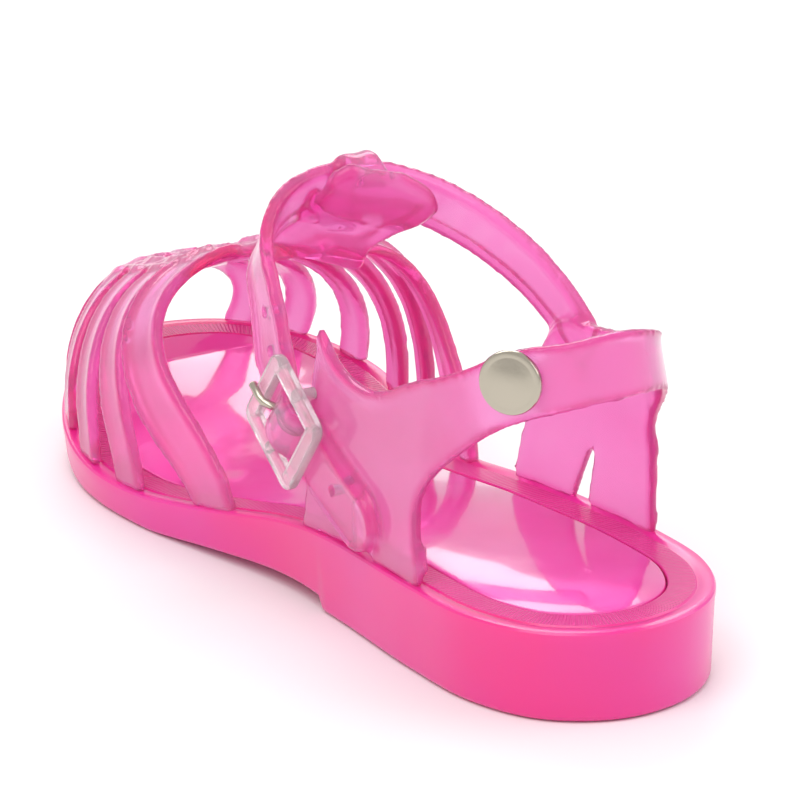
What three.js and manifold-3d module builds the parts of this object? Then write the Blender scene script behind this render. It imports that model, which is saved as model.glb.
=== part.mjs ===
// Moulded jelly sandal for a child, left foot, standing empty on its sole.
// Millimetres, +Z up, +Y from heel to toe, +X to the inner side of the foot.
// The origin is on the ground, at the middle of the sole's length and width.

import * as THREE from 'three';
import { mergeVertices } from 'three/addons/utils/BufferGeometryUtils.js';
import Module from 'manifold-3d';

const wasm = await Module();
wasm.setup();

// Driving dimensions of the sole
const soleLength = 190;
const ballWidth = 75;
const heelHeight = 18;
const forefootHeight = 7;
const waistLift = 2.6;
const toeSpring = 7.8;
const soleEdgeRound = 1.2;
const soleDraft = 0.7;

// Driving dimensions of the top of the sole
const rimBandWidth = 3.2;
const rimBandThickness = 1.2;
const bandSink = 0.48;
const ribbedBandWidth = 5.4;
const insoleThickness = 1.5;
const insoleEdgeRound = 0.55;

// Driving dimensions of the upper
const wall = 2.2;
const edgeInset = 1;
const footSink = 1.5;
const instepHeight = 48;
const ankleHeight = 72;
const ankleWidth = 46;
const strapWidth = 12.5;
const throatStrapWidth = 11.5;
const cageStrapWidth = 8;
const spineWidth = 13;
const beadWidth = 2.2;
const beadRise = 0.9;
const blockLength = 7.5;
const blockWidth = 6.5;
const blockRise = 1;
const keeperWidth = 7.5;
const tongueBow = 0.8;
const spineBow = 1.2;
const slightBead = 0.3;
const pinHoleDiameter = 2.2;

// Driving dimensions of the fittings
const buckleLength = 19.8;
const buckleWidth = 20.2;
const buckleBar = 3.5;
const buckleThickness = 2.4;
const barThickness = 2.4;
const prongDiameter = 1.6;
const rivetDiameter = 12;
const rivetThickness = 1.6;
const rivetEdgeRound = 0.5;
const rivetBackDiameter = 7.9;
const rivetBackThickness = 1;
const rivetBackClearance = 0.7;
const shankDiameter = 3;

// Clearances
const gap = 0.3;

// Resolution of the faceted surfaces
const soleStations = 40;
const strapSteps = 8;
const simplifyWithin = 0.05;

const point = (x, y, z) => new THREE.Vector3(x, y, z);
const radians = THREE.MathUtils.degToRad;
const lerp = THREE.MathUtils.lerp;

// Smooth value of one column of a table, read at a place in its first column
function valueAt(table, key, column, place) {
  const last = table.length - 1;
  let row = 0;
  while (row < last - 1 && place > table[row + 1][key]) row += 1;
  const slope = (index) => {
    const before = table[Math.max(index - 1, 0)];
    const after = table[Math.min(index + 1, last)];
    return (after[column] - before[column]) / (after[key] - before[key]);
  };
  const from = table[row];
  const to = table[row + 1];
  const span = to[key] - from[key];
  const t = THREE.MathUtils.clamp((place - from[key]) / span, 0, 1);
  const rise = t * t * (3 - 2 * t);
  const startPull = t * (1 - t) * (1 - t) * span * slope(row);
  const endPull = t * t * (1 - t) * span * slope(row + 1);
  return lerp(from[column], to[column], rise) + startPull - endPull;
}

// A closed solid from faces that already meet, turned so that they point out
function closedGeometry(positions, faces) {
  const geometry = new THREE.BufferGeometry();
  const flat = positions.flatMap((vertex) => [vertex.x, vertex.y, vertex.z]);
  geometry.setAttribute('position', new THREE.Float32BufferAttribute(flat, 3));
  let volume = 0;
  for (const [a, b, c] of faces) {
    volume += positions[a].dot(positions[b].clone().cross(positions[c]));
  }
  const outward = volume > 0 ? faces : faces.map(([a, b, c]) => [a, c, b]);
  geometry.setIndex(outward.flat());
  return geometry;
}

function solidFrom(geometry) {
  const bare = geometry.clone();
  bare.deleteAttribute('normal');
  bare.deleteAttribute('uv');
  const merged = mergeVertices(bare, 1e-4);
  return new wasm.Manifold(new wasm.Mesh({
    numProp: 3,
    vertProperties: new Float32Array(merged.attributes.position.array),
    triVerts: new Uint32Array(merged.index.array),
  }));
}

function geometryFrom(solid) {
  const mesh = solid.getMesh();
  const geometry = new THREE.BufferGeometry();
  geometry.setAttribute('position', new THREE.Float32BufferAttribute(mesh.vertProperties, 3));
  geometry.setIndex(Array.from(mesh.triVerts));
  geometry.computeVertexNormals();
  return geometry;
}

function joined(solids) {
  return solids.reduce((sum, solid) => sum.add(solid));
}

// Cubic millimetres below which a crumb of a cut, such as one left where a foot grazes its
// seat, is cleared away
const crumbVolume = 0.1;

function withoutCrumbs(solid) {
  return joined(solid.decompose().filter((piece) => piece.volume() > crumbVolume));
}

// Outline of the sole: half widths as shares of the ball width, along the length
const outline = [
  { along: 0, outer: 0, inner: 0 },
  { along: 0.012, outer: 0.13, inner: 0.15 },
  { along: 0.05, outer: 0.255, inner: 0.275 },
  { along: 0.12, outer: 0.335, inner: 0.36 },
  { along: 0.22, outer: 0.355, inner: 0.375 },
  { along: 0.36, outer: 0.35, inner: 0.345 },
  { along: 0.47, outer: 0.362, inner: 0.335 },
  { along: 0.58, outer: 0.42, inner: 0.375 },
  { along: 0.68, outer: 0.472, inner: 0.45 },
  { along: 0.77, outer: 0.48, inner: 0.51 },
  { along: 0.86, outer: 0.428, inner: 0.515 },
  { along: 0.935, outer: 0.315, inner: 0.415 },
  { along: 0.982, outer: 0.17, inner: 0.245 },
  { along: 1, outer: 0, inner: 0.03 },
];

// Heights of the sole: top as a share of the way from the forefoot's height to the heel's,
// bottom in shares of the waist's lift and the toe's spring
const profile = [
  { along: 0, top: 1, lift: 0, spring: 0 },
  { along: 0.15, top: 0.945, lift: 0, spring: 0 },
  { along: 0.3, top: 0.885, lift: 0, spring: 0 },
  { along: 0.39, top: 0.805, lift: 0.9, spring: 0 },
  { along: 0.46, top: 0.645, lift: 1, spring: 0 },
  { along: 0.56, top: 0.3, lift: 0.6, spring: 0 },
  { along: 0.66, top: 0.05, lift: 0, spring: 0 },
  { along: 0.72, top: 0, lift: 0, spring: 0 },
  { along: 0.8, top: 0.05, lift: 0, spring: 0 },
  { along: 0.88, top: 0.28, lift: 0, spring: 0.28 },
  { along: 0.95, top: 0.58, lift: 0, spring: 0.68 },
  { along: 1, top: 0.82, lift: 0, spring: 1 },
];
const heelBreast = 0.39;
const breastRun = 0.004;
const ballContact = { from: 0.655, to: 0.8 };

// The outline as one smooth closed curve, read back as a half width on either side
function outlineSide(column, side) {
  return outline.map((row) => point(side * row[column] * ballWidth, row.along * soleLength, 0));
}
const outlineCurve = new THREE.CatmullRomCurve3(
  [...outlineSide('outer', -1), ...outlineSide('inner', 1).reverse().slice(1, -1)],
  true,
  'centripetal',
);
const outlineSamples = 900;
const outlinePoints = outlineCurve.getPoints(outlineSamples);

function sideOfOutline(side) {
  const own = outlinePoints.filter((vertex) => vertex.x * side >= 0);
  return own.sort((a, b) => a.y - b.y);
}
const outlineSides = { '-1': sideOfOutline(-1), 1: sideOfOutline(1) };

function halfWidth(side, along) {
  const list = outlineSides[side];
  const y = along * soleLength;
  const next = list.findIndex((vertex) => vertex.y >= y);
  if (next <= 0) return next === 0 ? 0 : Math.abs(list[list.length - 1].x);
  const before = list[next - 1];
  const after = list[next];
  const t = (y - before.y) / Math.max(after.y - before.y, 1e-6);
  return Math.abs(lerp(before.x, after.x, t));
}

function topHeight(along) {
  return lerp(forefootHeight, heelHeight, valueAt(profile, 'along', 'top', along));
}

function bottomHeight(along) {
  if (along < heelBreast) return 0;
  const lift = valueAt(profile, 'along', 'lift', along) * waistLift;
  const spring = valueAt(profile, 'along', 'spring', along) * toeSpring;
  const touches = along > ballContact.from && along < ballContact.to;
  return touches ? 0 : Math.max(lift + spring, 0);
}

// Loop of stations round the sole: heel point, outer side, toe point, inner side
function soleStationShares() {
  const shares = [];
  for (let i = 0; i <= soleStations; i += 1) {
    shares.push((1 - Math.cos((Math.PI * i) / soleStations)) / 2);
  }
  const clear = shares.filter((share) => Math.abs(share - heelBreast) > 3 * breastRun);
  return [...clear, heelBreast - breastRun, heelBreast + breastRun].sort((a, b) => a - b);
}
const stationShares = soleStationShares();

const rimLoop = (() => {
  const inside = stationShares.slice(1, -1);
  const heel = outlinePoints.reduce((low, vertex) => (vertex.y < low.y ? vertex : low));
  const toe = outlinePoints.reduce((high, vertex) => (vertex.y > high.y ? vertex : high));
  const outerSide = inside.map((share) => point(-halfWidth(-1, share), share * soleLength, 0));
  const innerSide = inside.map((share) => point(halfWidth(1, share), share * soleLength, 0));
  return [point(heel.x, heel.y, 0), ...outerSide, point(toe.x, toe.y, 0), ...innerSide.reverse()];
})();

const rimNormals = rimLoop.map((vertex, index) => {
  const count = rimLoop.length;
  const ahead = rimLoop[(index + 1) % count];
  const behind = rimLoop[(index + count - 1) % count];
  const run = ahead.clone().sub(behind);
  return point(-run.y, run.x, 0).normalize();
});

// One ring: the outline drawn in by an inset, at a height worked out from its own place
function ring(inset, height) {
  return rimLoop.map((vertex, index) => {
    const drawn = vertex.clone().addScaledVector(rimNormals[index], -inset);
    const along = THREE.MathUtils.clamp(vertex.y / soleLength, 0, 1);
    drawn.z = height(along);
    return drawn;
  });
}

// Rings joined by bands of faces; open ends are closed by rungs from side to side
function ringSolid(rings, closesOnItself) {
  const count = rings[0].length;
  const positions = rings.flat();
  const faces = [];
  const bands = closesOnItself ? rings.length : rings.length - 1;
  for (let band = 0; band < bands; band += 1) {
    const low = band * count;
    const high = ((band + 1) % rings.length) * count;
    for (let i = 0; i < count; i += 1) {
      const next = (i + 1) % count;
      faces.push([low + i, low + next, high + next], [low + i, high + next, high + i]);
    }
  }
  if (!closesOnItself) {
    const half = count / 2;
    const closeEnd = (base, turned) => {
      for (let i = 0; i < half; i += 1) {
        const mirror = (count - i) % count;
        const a = base + i;
        const b = base + i + 1;
        const c = base + ((mirror + count - 1) % count);
        const d = base + mirror;
        const rung = [];
        if (b !== c) rung.push([a, b, c]);
        if (a !== d) rung.push([a, c, d]);
        rung.forEach(([p, q, r]) => faces.push(turned ? [p, q, r] : [p, r, q]));
      }
    };
    closeEnd(0, false);
    closeEnd((rings.length - 1) * count, true);
  }
  return closedGeometry(positions, faces);
}

const bandSeat = rimBandThickness + gap;
const insoleEdge = rimBandWidth + gap + ribbedBandWidth;
const insoleSeat = insoleThickness + gap;

function outsoleGeometry() {
  return ringSolid([
    ring(soleDraft + soleEdgeRound, bottomHeight),
    ring(soleDraft, (along) => bottomHeight(along) + soleEdgeRound),
    ring(0, (along) => topHeight(along) - bandSeat),
    ring(rimBandWidth + gap, (along) => topHeight(along) - bandSeat),
    ring(rimBandWidth + gap, topHeight),
    ring(insoleEdge, topHeight),
    ring(insoleEdge, (along) => topHeight(along) - insoleSeat),
  ], false);
}

function insoleGeometry() {
  const base = (along) => topHeight(along) - insoleThickness;
  return ringSolid([
    ring(insoleEdge + gap, base),
    ring(insoleEdge + gap, (along) => topHeight(along) - insoleEdgeRound),
    ring(insoleEdge + gap + insoleEdgeRound, topHeight),
  ], false);
}

// The band round the edge of the sole, from which every strap and leg rises
function rimBandGeometry() {
  const low = (along) => topHeight(along) - rimBandThickness;
  const shoulder = (along) => topHeight(along) - rimBandThickness / 3;
  return ringSolid([
    ring(gap / 2, low),
    ring(gap / 2, shoulder),
    ring(edgeInset, topHeight),
    ring(rimBandWidth, topHeight),
    ring(rimBandWidth, low),
  ], true);
}

// Section of a strap: flat inside, a bead along each edge outside.
// Places across and out of the strap, with the inner face at zero.
const beadShoulder = 0.6;
const beadCrest = 0.45;

function strapSection(width, beads) {
  const half = width / 2;
  const top = wall;
  const [left, right] = beads;
  return [
    [-half, 0],
    [half, 0],
    [half, top + right * beadShoulder],
    [half - beadWidth * beadCrest, top + right],
    [half - beadWidth, top],
    [-half + beadWidth, top],
    [-half + beadWidth * beadCrest, top + left],
    [-half, top + left * beadShoulder],
  ];
}

// A strap swept through frames; each has its place, outward direction, width, bow and
// the share of its beads
function ribbon(frames, beads) {
  const count = strapSection(1, beads).length;
  const positions = [];
  const faces = [];
  frames.forEach((frame, index) => {
    const ahead = frames[Math.min(index + 1, frames.length - 1)].at;
    const behind = frames[Math.max(index - 1, 0)].at;
    const run = ahead.clone().sub(behind).normalize();
    const across = run.clone().cross(frame.out).normalize();
    const out = across.clone().cross(run).normalize();
    const share = frame.bead ?? 1;
    const section = strapSection(frame.width, beads.map((bead) => bead * share));
    section.forEach(([side, rise]) => {
      const place = frame.at.clone().addScaledVector(across, side);
      const drop = (frame.bow || 0) * (side / (frame.width / 2)) ** 2;
      positions.push(place.addScaledVector(out, rise - drop));
    });
  });
  for (let row = 0; row < frames.length - 1; row += 1) {
    for (let i = 0; i < count; i += 1) {
      const next = (i + 1) % count;
      const a = row * count + i;
      const b = row * count + next;
      faces.push([a, b, b + count], [a, b + count, a + count]);
    }
  }
  const contour = strapSection(strapWidth, beads).map(([side, rise]) => new THREE.Vector2(side, rise));
  const end = (frames.length - 1) * count;
  THREE.ShapeUtils.triangulateShape(contour, []).forEach(([a, b, c]) => {
    faces.push([a, c, b], [a + end, b + end, c + end]);
  });
  return closedGeometry(positions, faces);
}

// The foot's form over the forefoot: ridge height in shares of the instep height, lean in
// shares of the ball width, and how full its section is, where 2 would be an ellipse
const ridge = [
  { along: 0.5, height: 1.02, lean: 0, full: 3.2 },
  { along: 0.62, height: 1.05, lean: 0, full: 3.2 },
  { along: 0.68, height: 1.065, lean: -0.01, full: 2.8 },
  { along: 0.74, height: 0.985, lean: -0.02, full: 2.6 },
  { along: 0.8, height: 0.875, lean: -0.03, full: 2.5 },
  { along: 0.86, height: 0.785, lean: -0.04, full: 2.4 },
  { along: 0.92, height: 0.7, lean: -0.04, full: 2.35 },
  { along: 0.96, height: 0.615, lean: -0.035, full: 2.35 },
  { along: 1, height: 0.42, lean: -0.02, full: 2.35 },
];

// Angles round the form: 90 is the ridge and 0 the feather edge of one side, and below it
// a strap's foot sinks into the band
const strapAngles = { ridge: 84, foot: -30 };
const lastFullShare = 0.992;

function formPoint(side, angle, along) {
  const share = Math.min(along, lastFullShare);
  const edge = Math.max(halfWidth(side, share) - edgeInset - wall, 1);
  const spineX = valueAt(ridge, 'along', 'lean', along) * ballWidth;
  const foot = topHeight(along);
  const crown = valueAt(ridge, 'along', 'height', along) * instepHeight;
  const turn = radians(Math.max(angle, 0));
  const full = valueAt(ridge, 'along', 'full', along);
  const reach = Math.cos(turn) ** (2 / full);
  const rise = Math.sin(turn) ** (2 / full);
  const x = spineX + (side * edge - spineX) * reach;
  const sink = (Math.min(angle, 0) / strapAngles.foot) * footSink;
  return point(x, along * soleLength, foot + (crown - foot) * rise - sink);
}

// The way out of the form, from two short steps over it
const turnStep = 2;
const alongStep = 0.008;

function formNormal(side, angle, along) {
  const turn = THREE.MathUtils.clamp(angle, turnStep, 90 - turnStep);
  const here = formPoint(side, turn, along);
  const round = formPoint(side, turn + turnStep, along).sub(formPoint(side, turn - turnStep, along));
  const front = formPoint(side, turn, along + alongStep);
  const ahead = front.sub(formPoint(side, turn, along - alongStep));
  const normal = round.cross(ahead).normalize();
  const centre = point(0, here.y - instepHeight / 5, here.z * 0.4);
  return normal.dot(here.sub(centre)) < 0 ? normal.negate() : normal;
}

// Straps of the cage, from the throat to the toe. The outer ones lean forward as they rise
// to the spine and the inner ones lean back. Roots and feet are shares of the sole's length.
const outerStraps = [
  { root: 0.742, foot: 0.57, sweep: 3, width: throatStrapWidth, bead: 1.5 },
  { root: 0.81, foot: 0.7, sweep: 1.8, width: cageStrapWidth * 1.1, bead: 0.5 },
  { root: 0.868, foot: 0.785, sweep: 1.3, width: cageStrapWidth, bead: 0.5 },
  { root: 0.926, foot: 0.858, sweep: 1, width: cageStrapWidth * 0.9, bead: 0.5 },
  { root: 0.955, foot: 0.922, sweep: 1, width: cageStrapWidth * 0.85, bead: 0.5 },
  { root: 0.98, foot: 0.972, sweep: 1, width: cageStrapWidth * 0.8, bead: 0.5 },
];
const innerStraps = [
  { root: 0.662, foot: 0.55, sweep: 2.8, width: throatStrapWidth, bead: 1.5 },
  { root: 0.712, foot: 0.692, sweep: 1, width: cageStrapWidth, bead: 0.5 },
  { root: 0.768, foot: 0.79, sweep: 1, width: cageStrapWidth, bead: 0.5 },
  { root: 0.826, foot: 0.872, sweep: 1, width: cageStrapWidth * 0.9, bead: 0.5 },
  { root: 0.875, foot: 0.935, sweep: 1, width: cageStrapWidth * 0.85, bead: 0.5 },
  { root: 0.935, foot: 0.97, sweep: 1, width: cageStrapWidth * 0.8, bead: 0.5 },
];

function cageStrap(side, row) {
  const frames = [];
  for (let step = 0; step <= strapSteps; step += 1) {
    const t = step / strapSteps;
    const angle = lerp(strapAngles.ridge, strapAngles.foot, t);
    const share = Math.min(1 - angle / strapAngles.ridge, 1);
    const along = lerp(row.root, row.foot, share ** row.sweep);
    frames.push({
      at: formPoint(side, angle, along),
      out: formNormal(side, angle, along),
      width: row.width,
    });
  }
  const rearBead = beadRise * row.bead;
  const frontBead = beadRise / 2;
  return ribbon(frames, side > 0 ? [rearBead, frontBead] : [frontBead, rearBead]);
}

// The tongue: a leaf that rises from the throat behind the ankle strap, by its two edges.
// Sides are shares of the ankle width, alongs of the length and heights of the ankle height.
const tongue = [
  { outer: [-0.13, 0.7, 0.69], inner: [0.2, 0.624, 0.655] },
  { outer: [-0.16, 0.648, 0.785], inner: [0.195, 0.6, 0.73] },
  { outer: [-0.17, 0.6, 0.865], inner: [0.22, 0.56, 0.805] },
  { outer: [-0.175, 0.556, 0.94], inner: [0.263, 0.52, 0.865] },
  { outer: [-0.185, 0.528, 1], inner: [0.285, 0.498, 0.925] },
  { outer: [-0.175, 0.519, 1.037], inner: [0.262, 0.499, 0.975] },
  { outer: [-0.09, 0.51, 1.058], inner: [0.15, 0.506, 1.035] },
];
const tongueAcross = [0, 0.08, 0.17, 0.5, 0.83, 0.92, 1];
const bowForward = 0.6;
const bowUpward = 0.8;

// The spine along the ridge, from the toe to the throat
const spine = { toe: 0.985, throat: 0.66, steps: 12 };

function spineFrames() {
  const frames = [];
  for (let step = 0; step <= spine.steps; step += 1) {
    const along = lerp(spine.toe, spine.throat, step / spine.steps);
    frames.push({
      at: formPoint(1, 90, along),
      out: formNormal(1, 90, along).setX(0).normalize(),
      width: spineWidth,
      bow: spineBow,
    });
  }
  return frames;
}

function tongueColumn(row) {
  const [start, end] = [row.outer, row.inner].map(([side, along, height]) => (
    point(side * ankleWidth, along * soleLength, height * ankleHeight)
  ));
  return tongueAcross.map((share) => {
    const raised = tongueBow * 4 * share * (1 - share);
    return start.clone().lerp(end, share).add(point(0, raised * bowForward, raised * bowUpward));
  });
}

function tongueThickness(index) {
  const fromEdge = Math.min(index, tongueAcross.length - 1 - index);
  const beads = [beadShoulder, 1];
  return wall + beadRise * (beads[fromEdge] ?? 0);
}

// Raised blocks where the straps weave over the spine, in three staggered files.
// The first block and the pitch are shares of the length, the files are angles.
const weave = { rows: 5, first: 0.735, pitch: 0.058, middle: 89, beside: 76 };

function weaveBlock(side, angle, along) {
  const half = blockLength / 2 / soleLength;
  const frames = [along - half, along + half].map((share) => ({
    at: formPoint(side, angle, share),
    out: formNormal(side, angle, share),
    width: blockWidth,
  }));
  return ribbon(frames, [blockRise, blockRise]);
}

function weaveBlocks() {
  const blocks = [];
  for (let row = 0; row < weave.rows; row += 1) {
    blocks.push(weaveBlock(1, weave.middle, weave.first + row * weave.pitch));
  }
  for (let row = 0.5; row < weave.rows - 1; row += 1) {
    const along = weave.first + row * weave.pitch;
    blocks.push(weaveBlock(-1, weave.beside, along), weaveBlock(1, weave.beside, along));
  }
  return blocks;
}

// Girth of the heel and ankle: half widths as shares of the ankle width, by height
const girth = [
  { height: 0.15, outer: 0.5, inner: 0.53 },
  { height: 0.4, outer: 0.515, inner: 0.52 },
  { height: 0.62, outer: 0.505, inner: 0.47 },
  { height: 0.76, outer: 0.48, inner: 0.43 },
  { height: 0.88, outer: 0.45, inner: 0.385 },
  { height: 1.05, outer: 0.41, inner: 0.35 },
];
const heelCentre = 0.205;
const heelDepth = 0.137;
const legBlendHeight = 0.6;

// A place on the form's side or back: along beyond the heel's centre, or a turn round the back
function sidePoint(side, along, height) {
  const reach = valueAt(girth, 'height', side < 0 ? 'outer' : 'inner', height) * ankleWidth;
  const foot = halfWidth(side, along) - edgeInset - wall;
  const low = topHeight(along) / ankleHeight;
  const share = THREE.MathUtils.smoothstep(height, low, legBlendHeight);
  return point(side * lerp(foot, reach, share), along * soleLength, height * ankleHeight);
}

function backPoint(turn, height) {
  const side = turn < 0 ? -1 : 1;
  const reach = valueAt(girth, 'height', side < 0 ? 'outer' : 'inner', height) * ankleWidth;
  const x = side * reach * Math.abs(Math.sin(radians(turn)));
  const y = (heelCentre - heelDepth * Math.cos(radians(turn))) * soleLength;
  return point(x, y, height * ankleHeight);
}

// The quarters and the heel band are one sheet. Each row is one column of it, with its
// lower and upper ends: along in shares of the length, heights in shares of the ankle height.
// A column without a lower height stands in the band round the sole.
const outerQuarter = [
  { low: 0.428, high: 0.405, highHeight: 0.775 },
  { low: 0.375, high: 0.375, highHeight: 0.72 },
  { low: 0.33, high: 0.34, highHeight: 0.69 },
  { low: 0.285, high: 0.3, highHeight: 0.69 },
  { low: 0.24, high: 0.262, highHeight: 0.725 },
  { low: 0.206, high: 0.235, highHeight: 0.76 },
  { low: 0.222, lowHeight: 0.43, high: 0.215, highHeight: 0.79 },
];
const heelBand = [
  { turn: -84, low: 0.53, high: 0.815 },
  { turn: -70, low: 0.625, high: 0.86 },
  { turn: -48, low: 0.735, high: 0.94 },
  { turn: -24, low: 0.785, high: 0.97 },
  { turn: 0, low: 0.805, high: 0.995 },
  { turn: 24, low: 0.79, high: 0.98 },
  { turn: 48, low: 0.745, high: 0.94 },
  { turn: 70, low: 0.65, high: 0.885 },
  { turn: 84, low: 0.54, high: 0.86 },
];
const innerQuarter = [
  { low: 0.19, lowHeight: 0.43, high: 0.215, highHeight: 0.84 },
  { low: 0.212, high: 0.25, highHeight: 0.815 },
  { low: 0.26, high: 0.29, highHeight: 0.79 },
  { low: 0.31, high: 0.33, highHeight: 0.76 },
  { low: 0.355, high: 0.36, highHeight: 0.71 },
  { low: 0.4, high: 0.385, highHeight: 0.655 },
  { low: 0.435, high: 0.4, highHeight: 0.6 },
];
const sheetRows = 5;

function quarterColumn(side, row) {
  const inBand = (topHeight(row.low) - footSink) / ankleHeight;
  const foot = row.lowHeight ?? inBand;
  const column = [];
  for (let step = 0; step <= sheetRows; step += 1) {
    const t = step / sheetRows;
    const along = lerp(row.low, row.high, t);
    column.push(sidePoint(side, along, lerp(foot, row.highHeight, t)));
  }
  return column;
}

function bandColumn(row) {
  const column = [];
  for (let step = 0; step <= sheetRows; step += 1) {
    column.push(backPoint(row.turn, lerp(row.low, row.high, step / sheetRows)));
  }
  return column;
}

// Columns with one more between each two, on a smooth curve through them all
function betweenColumns(columns) {
  const rows = columns[0].map((_, r) => (
    new THREE.CatmullRomCurve3(columns.map((column) => column[r]), false, 'centripetal')
  ));
  const spans = columns.length - 1;
  return Array.from({ length: 2 * spans + 1 }, (_, i) => (
    rows.map((curve) => curve.getPoint(i / (2 * spans)))
  ));
}

// A curved sheet thickened outwards from its inner face, all round closed
function sheetGeometry(columns, thicknessAt = () => wall) {
  const rows = columns[0].length;
  const inner = columns.flat();
  const outer = columns.flatMap((column, c) => column.map((vertex, r) => {
    const ahead = columns[Math.min(c + 1, columns.length - 1)][r];
    const behind = columns[Math.max(c - 1, 0)][r];
    const above = column[Math.min(r + 1, rows - 1)];
    const below = column[Math.max(r - 1, 0)];
    const normal = ahead.clone().sub(behind).cross(above.clone().sub(below)).normalize();
    return vertex.clone().addScaledVector(normal, thicknessAt(r));
  }));
  const positions = [...inner, ...outer];
  const shift = inner.length;
  const faces = [];
  const quad = (a, b, c, d) => faces.push([a, b, c], [a, c, d]);
  for (let c = 0; c < columns.length - 1; c += 1) {
    for (let r = 0; r < rows - 1; r += 1) {
      const a = c * rows + r;
      quad(a, a + rows, a + rows + 1, a + 1);
      quad(a + shift, a + 1 + shift, a + rows + 1 + shift, a + rows + shift);
    }
    const low = c * rows;
    const high = low + rows - 1;
    quad(low, low + shift, low + rows + shift, low + rows);
    quad(high, high + rows, high + rows + shift, high + shift);
  }
  for (let r = 0; r < rows - 1; r += 1) {
    const end = (columns.length - 1) * rows + r;
    quad(r, r + 1, r + 1 + shift, r + shift);
    quad(end, end + shift, end + 1 + shift, end + 1);
  }
  return closedGeometry(positions, faces);
}

function quarterSheet() {
  return sheetGeometry(betweenColumns([
    ...outerQuarter.map((row) => quarterColumn(-1, row)),
    ...heelBand.map(bandColumn),
    ...innerQuarter.map((row) => quarterColumn(1, row)),
  ]));
}

// The narrow slot that parts each quarter into two legs, as a wedge through its side
const legSlots = [
  { side: -1, rear: 0.29, front: 0.322, apex: 0.318, top: 0.38 },
  { side: 1, rear: 0.312, front: 0.338, apex: 0.302, top: 0.4 },
];
const slotTip = 0.004;

function slotCutter(slot) {
  const low = (topHeight(slot.rear) + gap) / ankleHeight;
  const shape = new THREE.Shape();
  shape.moveTo(slot.rear * soleLength, low * ankleHeight);
  shape.lineTo(slot.front * soleLength, low * ankleHeight);
  shape.lineTo((slot.apex + slotTip) * soleLength, slot.top * ankleHeight);
  shape.lineTo((slot.apex - slotTip) * soleLength, slot.top * ankleHeight);
  shape.closePath();
  const depth = ankleWidth;
  const geometry = new THREE.ExtrudeGeometry(shape, { depth, bevelEnabled: false });
  geometry.applyMatrix4(new THREE.Matrix4().set(0, 0, 1, 0, 1, 0, 0, 0, 0, 1, 0, 0, 0, 0, 0, 1));
  geometry.translate(slot.side > 0 ? 0 : -depth, 0, 0);
  return solidFrom(geometry);
}

// The buckle's own frame: u runs with the strap, v across it and w out of the shoe
const buckleCentre = { side: -0.613, along: 0.4245, height: 0.51 };
const buckleSlope = 36;

const buckleFrame = (() => {
  const slope = radians(buckleSlope);
  const u = point(0, -Math.cos(slope), -Math.sin(slope));
  const w = point(-1, 0, 0);
  const v = w.clone().cross(u);
  const placed = new THREE.Matrix4().makeBasis(u, v, w);
  const { side, along, height } = buckleCentre;
  return placed.setPosition(side * ankleWidth, along * soleLength, height * ankleHeight);
})();

// The ankle strap: rises from the inner quarter, crosses the instep and runs down through
// the buckle. Turn is the way that it faces, 0 to the toe and 90 to the inner side.
const ankleStrap = [
  { side: 0.475, along: 0.3, height: 0.66, turn: 92, lean: 4 },
  { side: 0.482, along: 0.35, height: 0.735, turn: 90, lean: 6 },
  { side: 0.47, along: 0.405, height: 0.8, turn: 85, lean: 8 },
  { side: 0.44, along: 0.46, height: 0.845, turn: 74, lean: 12 },
  { side: 0.375, along: 0.51, height: 0.885, turn: 56, lean: 18 },
  { side: 0.26, along: 0.55, height: 0.92, turn: 34, lean: 25 },
  { side: 0.1, along: 0.573, height: 0.945, turn: 12, lean: 30 },
  { side: -0.09, along: 0.578, height: 0.95, turn: -10, lean: 30 },
  { side: -0.27, along: 0.568, height: 0.93, turn: -32, lean: 24 },
  { side: -0.4, along: 0.545, height: 0.895, turn: -54, lean: 16 },
  { side: -0.475, along: 0.525, height: 0.85, turn: -70, lean: 10 },
  { side: -0.505, along: 0.503, height: 0.785, turn: -80, lean: 5 },
  { side: -0.52, along: 0.487, height: 0.715, turn: -86, lean: 2 },
  { side: -0.535, along: 0.474, height: 0.65, turn: -90, lean: 0 },
];

// The strap inside the buckle and beyond it, in the buckle's own directions: it runs under
// the frame, over the centre bar and under the frame again, with the clearance at each
const underFrame = -(wall + gap);
const overBar = gap * 1.2;
const strapInBuckle = [
  { run: -0.4 * buckleLength, rise: 1.3 * underFrame },
  { run: -0.25 * buckleLength, rise: 1.2 * underFrame },
  { run: -0.8 * barThickness, rise: overBar },
  { run: 0.8 * barThickness, rise: overBar },
  { run: 0.25 * buckleLength, rise: underFrame },
  { run: 0.4 * buckleLength, rise: underFrame },
];

// The strap's tail, on the outer quarter
const strapTail = [
  { side: -0.559, along: 0.35, height: 0.39 },
  { side: -0.559, along: 0.305, height: 0.34 },
];

function facing(turn, lean) {
  const flat = Math.cos(radians(lean));
  const x = Math.sin(radians(turn)) * flat;
  const y = Math.cos(radians(turn)) * flat;
  return point(x, y, Math.sin(radians(lean)));
}

function ankleStrapFrames() {
  const place = (row) => (
    point(row.side * ankleWidth, row.along * soleLength, row.height * ankleHeight)
  );
  const out = point(-1, 0, 0);
  const upToBuckle = ankleStrap.map((row) => ({
    at: place(row),
    out: facing(row.turn, row.lean),
    width: strapWidth,
  }));
  const inBuckle = strapInBuckle.map(({ run, rise }) => ({
    at: point(run, 0, rise).applyMatrix4(buckleFrame),
    out,
    width: strapWidth,
    bead: 0,
  }));
  const tail = strapTail.map((row) => ({ at: place(row), out, width: strapWidth }));
  return [...upToBuckle, ...inBuckle, ...tail];
}

// Tip of the strap, drawn in to a rounded end
const tipShares = [0.55, 0.85];

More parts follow.
